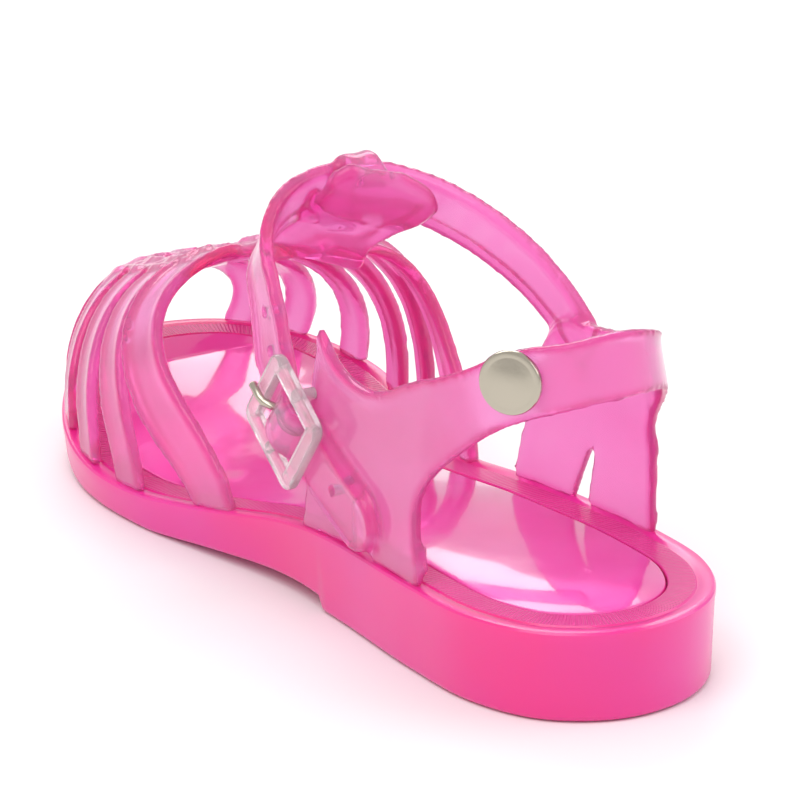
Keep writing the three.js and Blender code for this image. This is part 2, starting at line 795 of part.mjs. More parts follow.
function tipFrames(frames) {
  const last = frames[frames.length - 1];
  const before = frames[frames.length - 2];
  const run = last.at.clone().sub(before.at).normalize();
  return tipShares.map((share) => ({
    at: last.at.clone().addScaledVector(run, (share * strapWidth) / 2),
    out: last.out,
    width: strapWidth * Math.sqrt(1 - share * share),
  }));
}

// The keeper: a narrow loop on the front of the tongue, round the ankle strap
const keeperSide = 0.05;
const keeperCentre = { along: 0.572, height: 0.95 };
const keeper = [
  { along: 0.536, height: 1 },
  { along: 0.543, height: 1.035 },
  { along: 0.557, height: 1.05 },
  { along: 0.574, height: 1.03 },
  { along: 0.604, height: 0.925 },
  { along: 0.606, height: 0.87 },
  { along: 0.59, height: 0.845 },
  { along: 0.567, height: 0.86 },
];

function keeperFrames() {
  const x = keeperSide * ankleWidth;
  const place = (row) => point(x, row.along * soleLength, row.height * ankleHeight);
  const centre = place(keeperCentre);
  return keeper.map((row) => ({
    at: place(row),
    out: place(row).sub(centre).normalize(),
    width: keeperWidth,
  }));
}

function roundedRectangle(length, width, radius) {
  const shape = new THREE.Shape();
  const x = length / 2 - radius;
  const y = width / 2 - radius;
  shape.absarc(x, y, radius, 0, Math.PI / 2);
  shape.absarc(-x, y, radius, Math.PI / 2, Math.PI);
  shape.absarc(-x, -y, radius, Math.PI, Math.PI * 1.5);
  shape.absarc(x, -y, radius, Math.PI * 1.5, Math.PI * 2);
  shape.closePath();
  return shape;
}

// Rounding of the buckle, as shares of its bar, and its bevel, as a share of its thickness
const buckleCorners = { outside: 0.55, inside: 0.2 };
const buckleBevel = 0.2;

function buckleGeometry() {
  const shape = roundedRectangle(buckleLength, buckleWidth, buckleBar * buckleCorners.outside);
  const opening = roundedRectangle(
    buckleLength - 2 * buckleBar,
    buckleWidth - 2 * buckleBar,
    buckleBar * buckleCorners.inside,
  );
  shape.holes.push(opening);
  const bevel = buckleThickness * buckleBevel;
  const frame = new THREE.ExtrudeGeometry(shape, {
    depth: buckleThickness - 2 * bevel,
    bevelSize: bevel,
    bevelThickness: bevel,
    bevelOffset: -bevel,
    bevelSegments: 1,
    curveSegments: 4,
  });
  frame.translate(0, 0, bevel);
  const bar = new THREE.BoxGeometry(barThickness, buckleWidth - buckleBar, barThickness);
  bar.translate(0, 0, -barThickness / 2);
  const ears = [-1, 1].map((side) => {
    const deep = barThickness + buckleThickness / 2;
    const ear = new THREE.BoxGeometry(barThickness, buckleBar / 2, deep);
    const across = (side * (buckleWidth - buckleBar)) / 2;
    ear.translate(0, across, deep / 2 - barThickness);
    return ear;
  });
  return geometryFrom(joined([frame, bar, ...ears].map(solidFrom))).applyMatrix4(buckleFrame);
}

// The prong: an eye round the centre bar and an arm through the strap onto the far bar.
// Grown by the clearance, it is also what is cut out of the strap for it.
const prongEyeWall = 1;

function prongSolid(grow) {
  const hollow = (barThickness / 2) * Math.SQRT2 + gap;
  const eyeRadius = hollow + prongEyeWall + grow;
  const thick = prongDiameter + 2 * grow;
  const rest = buckleThickness + gap;
  const farBar = -buckleLength / 2 + buckleBar;
  const eye = new THREE.Shape();
  eye.absarc(0, -barThickness / 2, eyeRadius, 0, Math.PI * 2);
  const hole = new THREE.Path();
  hole.absarc(0, -barThickness / 2, hollow, 0, Math.PI * 2);
  if (grow === 0) eye.holes.push(hole);
  const arm = new THREE.Shape();
  arm.moveTo(-hollow + grow, barThickness / 4 - grow);
  arm.lineTo(farBar + gap, rest - grow);
  arm.lineTo(-buckleLength / 2 - grow, rest - grow);
  arm.lineTo(-buckleLength / 2 - grow, rest + prongDiameter * 0.7 + grow);
  arm.lineTo(farBar, rest + prongDiameter + grow);
  arm.lineTo(-hollow * 0.4 + 2 * grow, barThickness / 2 + prongDiameter * 0.6 + grow);
  arm.closePath();
  const solids = [eye, arm].map((shape) => {
    const plate = new THREE.ExtrudeGeometry(shape, {
      depth: thick,
      bevelEnabled: false,
      curveSegments: 8,
    });
    plate.translate(0, 0, -thick / 2);
    plate.rotateX(Math.PI / 2);
    return solidFrom(plate.applyMatrix4(buckleFrame));
  });
  return joined(solids);
}

// The rivet through the outer side of the heel band
const rivetPlace = { turn: -47, height: 0.86 };
const rivetSegments = 24;

const rivetFrame = (() => {
  const { turn, height } = rivetPlace;
  const centre = backPoint(turn, height);
  const round = backPoint(turn + 2, height).sub(backPoint(turn - 2, height));
  const upward = backPoint(turn, height + 0.02).sub(backPoint(turn, height - 0.02));
  const out = upward.cross(round).normalize();
  const axis = out.dot(centre.clone().sub(point(0, soleLength * heelCentre, centre.z))) < 0
    ? out.negate()
    : out;
  const turned = new THREE.Quaternion().setFromUnitVectors(point(0, 1, 0), axis);
  return new THREE.Matrix4().compose(centre, turned, point(1, 1, 1));
})();

function rivetGeometry() {
  const face = wall + gap;
  const radius = rivetDiameter / 2;
  const back = rivetBackDiameter / 2;
  const shank = shankDiameter / 2;
  const behind = -rivetBackClearance;
  const profilePoints = [
    [0, behind - rivetBackThickness],
    [back, behind - rivetBackThickness],
    [back, behind],
    [shank, behind],
    [shank, face],
    [radius, face],
    [radius, face + rivetThickness * 0.6],
    [radius - rivetEdgeRound, face + rivetThickness * 0.85],
    [0, face + rivetThickness],
  ].map(([r, h]) => new THREE.Vector2(r, h));
  return new THREE.LatheGeometry(profilePoints, rivetSegments).applyMatrix4(rivetFrame);
}

function shankHole() {
  const radius = shankDiameter / 2 + gap;
  const hole = new THREE.CylinderGeometry(radius, radius, wall * 5, 16);
  return solidFrom(hole.applyMatrix4(rivetFrame));
}

// Pin holes in the free length of the ankle strap
const pinHoles = [{ from: 11, share: 0.6 }, { from: 12, share: 0.9 }, { from: 20, share: 0.1 }];

function pinHoleCutter({ from, share }) {
  const frames = ankleStrapFrames();
  const centre = frames[from].at.clone().lerp(frames[from + 1].at, share);
  const out = frames[from].out.clone().lerp(frames[from + 1].out, share).normalize();
  const radius = pinHoleDiameter / 2;
  const hole = new THREE.CylinderGeometry(radius, radius, wall * 4, 10);
  const turned = new THREE.Quaternion().setFromUnitVectors(point(0, 1, 0), out);
  return solidFrom(hole.applyMatrix4(new THREE.Matrix4().compose(centre, turned, point(1, 1, 1))));
}

// What straps and legs may not enter: all below a seat in the band round the sole,
// and the sole itself inside that band
function underFeet() {
  const beyond = -2 * rimBandWidth;
  const seat = (along) => topHeight(along) - bandSink;
  return solidFrom(ringSolid([
    ring(beyond, () => -heelHeight),
    ring(beyond, seat),
    ring(rimBandWidth, seat),
    ring(rimBandWidth, (along) => topHeight(along) + gap),
  ], false));
}

function upperSolid() {
  const strapBeads = [beadRise, beadRise];
  const strap = ankleStrapFrames();
  const risers = [
    ribbon(spineFrames(), [slightBead, slightBead]),
    sheetGeometry(betweenColumns(tongue.map(tongueColumn)), tongueThickness),
    ribbon([...strap, ...tipFrames(strap)], strapBeads),
    ribbon(keeperFrames(), [slightBead, slightBead]),
    ...weaveBlocks(),
    ...outerStraps.map((row) => cageStrap(-1, row)),
    ...innerStraps.map((row) => cageStrap(1, row)),
  ].map(solidFrom);
  let sheet = solidFrom(quarterSheet());
  for (const slot of legSlots) sheet = sheet.subtract(slotCutter(slot));
  const standing = joined([...risers, sheet]).subtract(underFeet());
  const cutters = [prongSolid(gap), shankHole(), ...pinHoles.map(pinHoleCutter)];
  const whole = standing.add(solidFrom(rimBandGeometry())).subtract(joined(cutters));
  return withoutCrumbs(whole.simplify(simplifyWithin));
}

function material(color, roughness, metalness) {
  return new THREE.MeshStandardMaterial({ color, roughness, metalness });
}

const sandal = new THREE.Group();

function add(name, geometry, look) {
  geometry.computeVertexNormals();
  const mesh = new THREE.Mesh(geometry, look);
  mesh.name = name;
  sandal.add(mesh);
}

add('outsole', outsoleGeometry(), material(0xf0147c, 0.15, 0));
add('insole', insoleGeometry(), material(0xf5409a, 0.1, 0));
add('upper', geometryFrom(upperSolid()), material(0xff5fb4, 0.12, 0));
add('buckle', buckleGeometry(), material(0xffe3ee, 0.2, 0));
add('prong', geometryFrom(prongSolid(0)), material(0xd8d4cc, 0.2, 1));
add('rivet', rivetGeometry(), material(0xd9d4c7, 0.15, 1));

// The origin goes to the middle of the length and width, on the ground
const middle = new THREE.Box3().setFromObject(sandal).getCenter(point(0, 0, 0)).setZ(0);
sandal.children.forEach((mesh) => mesh.position.sub(middle));

export default sandal;
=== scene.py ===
import math

import bmesh
import bpy
import numpy as np
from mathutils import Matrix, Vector
from mathutils.kdtree import KDTree


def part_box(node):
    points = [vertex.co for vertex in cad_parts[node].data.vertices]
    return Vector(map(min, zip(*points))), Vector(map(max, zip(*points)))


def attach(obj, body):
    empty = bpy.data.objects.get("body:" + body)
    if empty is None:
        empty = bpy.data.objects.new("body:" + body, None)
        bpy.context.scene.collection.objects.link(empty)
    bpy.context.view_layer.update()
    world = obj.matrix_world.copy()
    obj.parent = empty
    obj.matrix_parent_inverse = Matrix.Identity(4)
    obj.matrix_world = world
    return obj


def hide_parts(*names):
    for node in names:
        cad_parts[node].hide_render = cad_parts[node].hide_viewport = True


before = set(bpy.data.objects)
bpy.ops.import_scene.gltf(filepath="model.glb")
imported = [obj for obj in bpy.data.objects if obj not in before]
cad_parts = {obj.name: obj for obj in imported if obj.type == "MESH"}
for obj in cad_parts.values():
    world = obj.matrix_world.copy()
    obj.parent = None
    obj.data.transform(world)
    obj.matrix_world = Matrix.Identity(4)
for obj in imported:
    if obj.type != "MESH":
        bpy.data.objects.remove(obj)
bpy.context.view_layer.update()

# Sizes of the sandal in millimetres, in the frame of the shapes below:
# X to the inner side, Y from heel to toe, Z up, the heel's end at Y 0
SOLE_LENGTH = 190
BALL_WIDTH = 75
HEEL_HEIGHT = 18
FOREFOOT_HEIGHT = 7
WAIST_LIFT = 2.6
TOE_SPRING = 7.8
EDGE_ROUND = 1.2
SOLE_DRAFT = 0.7
RIM_WIDTH = 3.2
RIBBED_WIDTH = 5.4
INSOLE_THICKNESS = 1.5
WALL = 2.2
EDGE_INSET = 1
INSTEP_HEIGHT = 48
ANKLE_HEIGHT = 72
ANKLE_WIDTH = 46
STRAP_WIDTH = 12.5
THROAT_WIDTH = 11.5
CAGE_WIDTH = 8
SPINE_WIDTH = 13
BEAD_WIDTH = 2.2
BEAD_RISE = 0.9
BLOCK_LENGTH = 7.5
BLOCK_WIDTH = 6.5
BLOCK_RISE = 1
KEEPER_WIDTH = 6.5
TONGUE_BOW = 0.8
SPINE_BOW = 1.2
SLIGHT_BEAD = 0.3
STRAP_EDGE = (0.3, 0.4)
EDGE_SOFTENING = 0.6
FOOT_DEPTH = 0.4
PIN_HOLE = 2.2
BUCKLE_LENGTH = 19.8
BUCKLE_WIDTH = 20.2
BUCKLE_BAR = 3.5
BUCKLE_THICKNESS = 2.4
BUCKLE_SQUARENESS = 0.5
CENTRE_BAR = 2.4
CENTRE_BAR_END = 8.6
POST_PLACE = 8.3
PRONG = 1.6
RIVET_RISE = 1.6
GAP = 0.3

# How finely the shapes are drawn
OUTLINE_SAMPLES = 900
LOOP_STATIONS = 150
STRAP_STEPS = 30
SPINE_STEPS = 40
BLOCK_STEPS = 6
KEEPER_STEPS = 40
ANKLE_STEPS = 150
TONGUE_FINENESS = 6
QUARTER_FINENESS = 5
RIM_FINENESS = 8
FUSE_SIZE = 0.66
FUSE_SMOOTHING = 13

# The fine ribs of the band round the insole
RIB_PITCH = 0.9
RIB_HEIGHT = 0.22

# Nearer to an edge than the first distance the painted edge shade is deepest, past the second it is plain
EDGE_SHADE_REACH = (0.7, 1.9)

# Colours
BODY_PINK = (0.97, 0.45, 0.77, 1)
# Painted shade: the deeper pink near the upper's edges, where light runs a longer way through the plastic
EDGE_SHADE_PINK = (0.93, 0.2, 0.56, 1)
DEPTH_PINK = (1, 0.12, 0.76, 1)
SOLE_PINKS = ((0.84, 0.018, 0.25, 1), (0.8, 0.03, 0.33, 1))
RIB_PINK = (0.82, 0.03, 0.29, 1)
INSOLE_PINKS = ((0.9, 0.1, 0.44, 1), (0.86, 0.05, 0.36, 1))
CLEAR_PINK = (1, 0.88, 0.91, 1)
WARM_METAL = (0.5, 0.45, 0.37, 1)
FLOOR_WHITE = (0.93, 0.93, 0.93, 1)
SKY_WHITE = (1, 1, 1, 1)


# Tables read smoothly

def value_at(table, key, column, place):
    """The column's value at a place, on a smooth curve through the table's rows."""
    last = len(table) - 1
    row = 0
    while row < last - 1 and place > table[row + 1][key]:
        row += 1

    def slope(index):
        before = table[max(index - 1, 0)]
        after = table[min(index + 1, last)]
        return (after[column] - before[column]) / (after[key] - before[key])

    start, end = table[row], table[row + 1]
    span = end[key] - start[key]
    t = min(max((place - start[key]) / span, 0), 1)
    rise = t * t * (3 - 2 * t)
    mixed = start[column] + (end[column] - start[column]) * rise
    return mixed + t * (1 - t) ** 2 * span * slope(row) - t * t * (1 - t) * span * slope(row + 1)


def rows(columns, *lines):
    """A table with named columns."""
    names = columns.split()
    return [dict(zip(names, line)) for line in lines]


def unit(vector):
    return vector / max(np.linalg.norm(vector), 1e-9)


def mix(a, b, t):
    return a + (b - a) * t


def curve_point(points, t, closed=False):
    """A place on the centripetal curve through all the points, from 0 to 1."""
    count = len(points)
    spans = count if closed else count - 1
    where = min(t, 1) * spans
    index = min(int(where), spans - 1)
    share = where - index
    if closed:
        a, b, c, d = (points[(index + step) % count] for step in (-1, 0, 1, 2))
    else:
        b, c = points[index], points[index + 1]
        a = points[index - 1] if index > 0 else 2 * b - c
        d = points[index + 2] if index + 2 < count else 2 * c - b
    knots = [max(np.linalg.norm(q - p), 1e-6) ** 0.5 for p, q in ((a, b), (b, c), (c, d))]
    lead = (b - a) / knots[0] - (c - a) / (knots[0] + knots[1]) + (c - b) / knots[1]
    tail = (c - b) / knots[1] - (d - b) / (knots[1] + knots[2]) + (d - c) / knots[2]
    lead, tail = lead * knots[1], tail * knots[1]
    square = 3 * (c - b) - 2 * lead - tail
    cube = 2 * (b - c) + lead + tail
    return b + lead * share + square * share ** 2 + cube * share ** 3


# The sole's outline and heights

OUTLINE = rows(
    "along outer inner",
    (0, 0, 0), (0.012, 0.13, 0.15), (0.05, 0.255, 0.275), (0.12, 0.335, 0.36),
    (0.22, 0.355, 0.375), (0.36, 0.35, 0.345), (0.47, 0.362, 0.335), (0.58, 0.42, 0.375),
    (0.68, 0.472, 0.45), (0.77, 0.48, 0.51), (0.86, 0.428, 0.515), (0.935, 0.315, 0.415),
    (0.982, 0.17, 0.245), (1, 0, 0.03),
)
PROFILE = rows(
    "along top lift spring",
    (0, 1, 0, 0), (0.15, 0.945, 0, 0), (0.3, 0.885, 0, 0), (0.39, 0.805, 0.9, 0),
    (0.46, 0.645, 1, 0), (0.56, 0.3, 0.6, 0), (0.66, 0.05, 0, 0), (0.72, 0, 0, 0),
    (0.8, 0.05, 0, 0), (0.88, 0.28, 0, 0.28), (0.95, 0.58, 0, 0.68), (1, 0.82, 0, 1),
)
HEEL_BREAST = 0.39
BREAST_STEP = 0.004
BREAST_CLEARANCE = 0.005
BALL_CONTACT = (0.655, 0.8)


def outline_points():
    outer = [np.array([-r["outer"] * BALL_WIDTH, r["along"] * SOLE_LENGTH, 0]) for r in OUTLINE]
    inner = [np.array([r["inner"] * BALL_WIDTH, r["along"] * SOLE_LENGTH, 0]) for r in OUTLINE]
    loop = outer + inner[::-1][1:-1]
    shares = [i / OUTLINE_SAMPLES for i in range(OUTLINE_SAMPLES)]
    return np.array([curve_point(loop, share, closed=True) for share in shares])


LOOP = outline_points()


def side_of_outline(side):
    own = LOOP[LOOP[:, 0] * side >= 0]
    return own[np.argsort(own[:, 1])]


SIDES = {-1: side_of_outline(-1), 1: side_of_outline(1)}


def half_width(side, along):
    own = SIDES[side]
    return abs(np.interp(along * SOLE_LENGTH, own[:, 1], own[:, 0]))


def top_height(along):
    return mix(FOREFOOT_HEIGHT, HEEL_HEIGHT, value_at(PROFILE, "along", "top", along))


def bottom_height(along):
    if along < HEEL_BREAST or BALL_CONTACT[0] < along < BALL_CONTACT[1]:
        return 0
    lift = value_at(PROFILE, "along", "lift", along) * WAIST_LIFT
    spring = value_at(PROFILE, "along", "spring", along) * TOE_SPRING
    return max(lift + spring, 0)


def rim_loop():
    """Stations round the outline, at matching places on the two sides."""
    shares = [(1 - math.cos(math.pi * i / LOOP_STATIONS)) / 2 for i in range(1, LOOP_STATIONS)]
    shares = [s for s in shares if abs(s - HEEL_BREAST) > BREAST_CLEARANCE]
    shares = sorted(shares + [HEEL_BREAST - BREAST_STEP, HEEL_BREAST + BREAST_STEP])
    outer = [np.array([-half_width(-1, s), s * SOLE_LENGTH, 0]) for s in shares]
    inner = [np.array([half_width(1, s), s * SOLE_LENGTH, 0]) for s in shares]
    heel = LOOP[np.argmin(LOOP[:, 1])]
    toe = LOOP[np.argmax(LOOP[:, 1])]
    return np.array([heel, *outer, toe, *inner[::-1]])


RIM = rim_loop()
RUN = np.roll(RIM, -1, axis=0) - np.roll(RIM, 1, axis=0)
NORMALS = np.array([unit(np.array([-run[1], run[0], 0])) for run in RUN])
ARC = np.concatenate([[0], np.cumsum(np.linalg.norm(np.diff(RIM, axis=0), axis=1))])

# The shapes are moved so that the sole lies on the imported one
PACKED_LOW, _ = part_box("outsole")
MOVE = np.array([
    PACKED_LOW[0] * 1000 - RIM[:, 0].min(),
    PACKED_LOW[1] * 1000 - RIM[:, 1].min(),
    0,
])


def ring(inset, height):
    """The outline drawn in by the inset, at the height that each place along the sole has."""
    drawn = RIM - NORMALS * inset
    along = np.clip(RIM[:, 1] / SOLE_LENGTH, 0, 1)
    drawn[:, 2] = [height(share) for share in along]
    return drawn


def ring_solid(rings):
    """Bands of faces between rings, with both ends closed by rungs from side to side."""
    count = len(RIM)
    places = np.concatenate(rings)
    faces = []
    for band in range(len(rings) - 1):
        low, high = band * count, (band + 1) * count
        for i in range(count):
            after = (i + 1) % count
            faces.append((low + i, low + after, high + after, high + i))
    half = count // 2
    for base, turned in ((0, True), ((len(rings) - 1) * count, False)):
        for i in range(half):
            a, b = base + i, base + i + 1
            c, d = base + (count - i - 1) % count, base + (count - i) % count
            face = list(dict.fromkeys((a, b, c, d)))
            faces.append(tuple(face[::-1] if turned else face))
    return places, faces


# Straps: a section swept through frames of (place, outward direction, width, bead share)

BEAD_SHAPE = rows("inset rise", (0, 0.6), (0.25, 1), (0.6, 0.9), (1, 0))


def strap_section(width, beads):
    """Flat inside, with a raised bead along each outer edge."""
    half = width / 2
    left, right = beads
    inset, rise = STRAP_EDGE
    section = [(-half + inset, 0), (half - inset, 0), (half, rise)]
    for point in BEAD_SHAPE:
        section.append((half - BEAD_WIDTH * point["inset"], WALL + right * point["rise"]))
    for point in reversed(BEAD_SHAPE):
        section.append((-half + BEAD_WIDTH * point["inset"], WALL + left * point["rise"]))
    return section + [(-half, rise)]


def ribbon(frames, beads, bow=0):
    """A strap through the frames, its middle bowed out over its edges where that is asked."""
    sections = []
    for index, (place, out, width, share) in enumerate(frames):
        ahead = frames[min(index + 1, len(frames) - 1)][0]
        behind = frames[max(index - 1, 0)][0]
        run = unit(ahead - behind)
        across = unit(np.cross(run, out))
        out = unit(np.cross(across, run))
        section = strap_section(width, [bead * share for bead in beads])
        sections.append([
            place + across * side + out * (rise - bow * (side / (width / 2)) ** 2)
            for side, rise in section
        ])
    return tube(sections)


# How far out of a strap's middle its rims lie, as a share of its width
RIM_PLACE = 0.46


def strap_rims(frames):
    """Points close together along both edges of a strap."""
    places = []
    for step in range(RIM_FINENESS * (len(frames) - 1)):
        index, t = divmod(step / RIM_FINENESS, 1)
        first, second = frames[int(index)], frames[int(index) + 1]
        run = unit(second[0] - first[0])
        place, out, width, _ = (mix(a, b, t) for a, b in zip(first, second))
        across = unit(np.cross(run, out))
        for rise in (0.3, WALL + BEAD_RISE * 0.6):
            places += [place + across * side * width * RIM_PLACE + out * rise for side in (-1, 1)]
    return places


def sheet_rims(part, across):
    """Points along the two long edges of a sheet, on both faces."""
    faces = np.array(part[0]).reshape(2, -1, across, 3)
    lines = [faces[face, :, row] for face in (0, 1) for row in (0, across - 1)]
    return [
        mix(line[i], line[i + 1], t) for line in lines
        for i in range(len(line) - 1) for t in (0, 0.25, 0.5, 0.75)
    ]


def tube(sections):
    """Faces from section to section, with both ends closed."""
    count = len(sections[0])
    places = np.array([place for section in sections for place in section])
    faces = []
    for row in range(len(sections) - 1):
        for i in range(count):
            a, b = row * count + i, row * count + (i + 1) % count
            faces.append((a, b, b + count, a + count))
    last = (len(sections) - 1) * count
    faces.append(tuple(range(count))[::-1])
    faces.append(tuple(last + i for i in range(count)))
    return places, faces


def resampled(frames, steps):
    """The same strap with its frames on smooth curves through the given ones."""
    columns = np.array([[*place, *out, width, share] for place, out, width, share in frames])
    made = []
    for i in range(steps + 1):
        t = i / steps
        place = curve_point(list(columns[:, :3]), t)
        where = t * (len(frames) - 1)
        index = min(int(where), len(frames) - 2)
        blend = mix(columns[index], columns[index + 1], where - index)
        made.append((place, unit(blend[3:6]), blend[6], blend[7]))
    return made


# The foot's form over the forefoot

RIDGE = rows(
    "along height lean full",
    (0.5, 1.02, 0, 3.2), (0.62, 1.05, 0, 3.2), (0.68, 1.065, -0.01, 2.8),
    (0.74, 0.985, -0.02, 2.6), (0.8, 0.875, -0.03, 2.5), (0.86, 0.785, -0.04, 2.4),
    (0.92, 0.7, -0.04, 2.35), (0.96, 0.615, -0.035, 2.35), (1, 0.42, -0.02, 2.35),
)
SINK_PER_DEGREE = 0.05
LAST_FULL_SHARE = 0.992


def form_point(side, angle, along):
    """A place on the form: angle 0 at the sole's edge, 90 on the ridge, below 0 in the sole."""
    edge = max(half_width(side, min(along, LAST_FULL_SHARE)) - EDGE_INSET - WALL, 1)
    spine = value_at(RIDGE, "along", "lean", along) * BALL_WIDTH
    foot = top_height(along)
    crown = value_at(RIDGE, "along", "height", along) * INSTEP_HEIGHT
    full = value_at(RIDGE, "along", "full", along)
    turn = math.radians(max(angle, 0))
    reach = max(math.cos(turn), 0) ** (2 / full)
    rise = math.sin(turn) ** (2 / full)
    x = spine + (side * edge - spine) * reach
    z = foot + (crown - foot) * rise + min(angle, 0) * SINK_PER_DEGREE
    return np.array([x, along * SOLE_LENGTH, z])


TURN_STEP = 2
ALONG_STEP = 0.008
CORE_BEHIND = 10
CORE_HEIGHT = 0.4


def form_normal(side, angle, along):
    """The direction out of the form, away from a core inside it."""
    steep = min(max(angle, TURN_STEP), 90 - TURN_STEP)
    here = form_point(side, steep, along)
    around = form_point(side, steep + TURN_STEP, along) - form_point(side, steep - TURN_STEP, along)
    ahead = form_point(side, steep, along + ALONG_STEP) - form_point(side, steep, along - ALONG_STEP)
    normal = unit(np.cross(around, ahead))
    core = np.array([0, here[1] - CORE_BEHIND, here[2] * CORE_HEIGHT])
    return -normal if normal @ (here - core) < 0 else normal


OUTER_STRAPS = rows(
    "root foot sweep width bead",
    (0.742, 0.57, 3, THROAT_WIDTH, 1.5), (0.81, 0.7, 1.8, CAGE_WIDTH * 1.1, 0.5),
    (0.868, 0.785, 1.3, CAGE_WIDTH, 0.5), (0.926, 0.858, 1, CAGE_WIDTH * 0.9, 0.5),
    (0.955, 0.922, 1, CAGE_WIDTH * 0.85, 0.5), (0.98, 0.972, 1, CAGE_WIDTH * 0.8, 0.5),
)
INNER_STRAPS = rows(
    "root foot sweep width bead",
    (0.662, 0.55, 2.8, THROAT_WIDTH, 1.5), (0.712, 0.692, 1, CAGE_WIDTH, 0.5),
    (0.768, 0.79, 1, CAGE_WIDTH, 0.5), (0.826, 0.872, 1, CAGE_WIDTH * 0.9, 0.5),
    (0.875, 0.935, 1, CAGE_WIDTH * 0.85, 0.5), (0.935, 0.97, 1, CAGE_WIDTH * 0.8, 0.5),
)
FRONT_BEAD = 0.5

# The straps run from the ridge to just below the sole's edge, and their beads fade at the foot
RIDGE_ANGLE = 84
FOOT_ANGLE = -8
BEAD_FADE_ANGLE = 12
LEAST_BEAD = 0.2


def cage_frames(side, row):
    frames = []
    for step in range(STRAP_STEPS + 1):
        angle = mix(RIDGE_ANGLE, FOOT_ANGLE, step / STRAP_STEPS)
        share = min((RIDGE_ANGLE - angle) / RIDGE_ANGLE, 1)
        along = mix(row["root"], row["foot"], share ** row["sweep"])
        out = form_normal(side, angle, along)
        beads = min(max(angle / BEAD_FADE_ANGLE, LEAST_BEAD), 1)
        frames.append((form_point(side, angle, along), out, row["width"], beads))
    return frames


def cage_strap(side, row):
    frames = cage_frames(side, row)
    rear, front = BEAD_RISE * row["bead"], BEAD_RISE * FRONT_BEAD
    return ribbon(frames, (rear, front) if side > 0 else (front, rear))


SPINE_ENDS = (0.985, 0.66)


def spine():
    frames = []
    for step in range(SPINE_STEPS + 1):
        along = mix(*SPINE_ENDS, step / SPINE_STEPS)
        out = form_normal(1, 90, along)
        out[0] = 0
        frames.append((form_point(1, 90, along), unit(out), SPINE_WIDTH, 1))
    return ribbon(frames, (SLIGHT_BEAD, SLIGHT_BEAD), SPINE_BOW)


WEAVE = dict(rows=5, first=0.735, pitch=0.058, middle=89, beside=76)


def weave_block(side, angle, along):
    half = BLOCK_LENGTH / 2 / SOLE_LENGTH
    frames = []
    for step in range(BLOCK_STEPS + 1):
        place = mix(along - half, along + half, step / BLOCK_STEPS)
        frames.append((form_point(side, angle, place), form_normal(side, angle, place), BLOCK_WIDTH, 1))
    return ribbon(frames, (BLOCK_RISE, BLOCK_RISE))


def weave_blocks():
    """A row of blocks on the ridge, and a pair beside it between each two of them."""
    first, pitch = WEAVE["first"], WEAVE["pitch"]
    made = [weave_block(1, WEAVE["middle"], first + row * pitch) for row in range(WEAVE["rows"])]
    for row in range(WEAVE["rows"] - 1):
        along = first + (row + 0.5) * pitch
        made += [weave_block(side, WEAVE["beside"], along) for side in (-1, 1)]
    return made


# Sheets: columns of places on the inner face, thickened outwards

def sheet(columns, thickness):
    count = len(columns[0])
    columns = np.array(columns)
    inner, outer = columns.copy(), columns.copy()
    for c in range(len(columns)):
        ahead = columns[min(c + 1, len(columns) - 1)]
        behind = columns[max(c - 1, 0)]
        for r in range(count):
            above = columns[c][min(r + 1, count - 1)]
            below = columns[c][max(r - 1, 0)]
            normal = unit(np.cross(ahead[r] - behind[r], above - below))
            outer[c][r] = inner[c][r] + normal * thickness(r)
            if r in (0, count - 1):
                inner[c][r] = inner[c][r] + normal * EDGE_SOFTENING
    places = np.concatenate([inner.reshape(-1, 3), outer.reshape(-1, 3)])
    shift = inner.shape[0] * count
    faces = []
    for c in range(len(columns) - 1):
        for r in range(count - 1):
            a = c * count + r
            faces.append((a, a + 1, a + count + 1, a + count))
            faces.append((a + shift, a + count + shift, a + count + 1 + shift, a + 1 + shift))
        low, high = c * count, c * count + count - 1
        faces.append((low, low + count, low + count + shift, low + shift))
        faces.append((high, high + shift, high + count + shift, high + count))
    end = (len(columns) - 1) * count
    for r in range(count - 1):
        faces.append((r, r + shift, r + 1 + shift, r + 1))
        faces.append((end + r, end + r + 1, end + r + 1 + shift, end + r + shift))
    return places, faces


def finer(columns, times):
    """More columns between the given ones, on smooth curves through them all."""
    spans = (len(columns) - 1) * times
    along = [[column[r] for column in columns] for r in range(len(columns[0]))]
    return [[curve_point(line, i / spans) for line in along] for i in range(spans + 1)]


TONGUE_OUTER = rows(
    "side along height",
    (-0.13, 0.7, 0.69), (-0.16, 0.648, 0.785), (-0.17, 0.6, 0.865), (-0.175, 0.556, 0.94),
    (-0.185, 0.528, 1), (-0.175, 0.519, 1.037), (-0.09, 0.51, 1.058),
)
TONGUE_INNER = rows(
    "side along height",
    (0.2, 0.624, 0.655), (0.195, 0.6, 0.73), (0.22, 0.56, 0.805), (0.263, 0.52, 0.865),
    (0.285, 0.498, 0.925), (0.262, 0.499, 0.975), (0.15, 0.506, 1.035),
)
TONGUE_ACROSS = (0, 0.06, 0.12, 0.18, 0.34, 0.5, 0.66, 0.82, 0.88, 0.94, 1)


def in_ankle(row):
    size = (ANKLE_WIDTH, SOLE_LENGTH, ANKLE_HEIGHT)
    return np.array([row[name] * s for name, s in zip(("side", "along", "height"), size)])


RIM_OF_TONGUE = (0.5, 1, 0.8, 0.1, 0, 0)


def tongue():
    columns = []
    for outer, inner in zip(TONGUE_OUTER, TONGUE_INNER):
        start, end = in_ankle(outer), in_ankle(inner)
        column = []
        for share in TONGUE_ACROSS:
            raised = TONGUE_BOW * 4 * share * (1 - share)
            column.append(mix(start, end, share) + np.array([0, raised * 0.6, raised * 0.8]))
        columns.append(column)

    def thickness(index):
        from_edge = min(index, len(TONGUE_ACROSS) - 1 - index)
        return WALL + BEAD_RISE * RIM_OF_TONGUE[from_edge]

    return sheet(finer(columns, TONGUE_FINENESS), thickness)


# Quarters and heel band

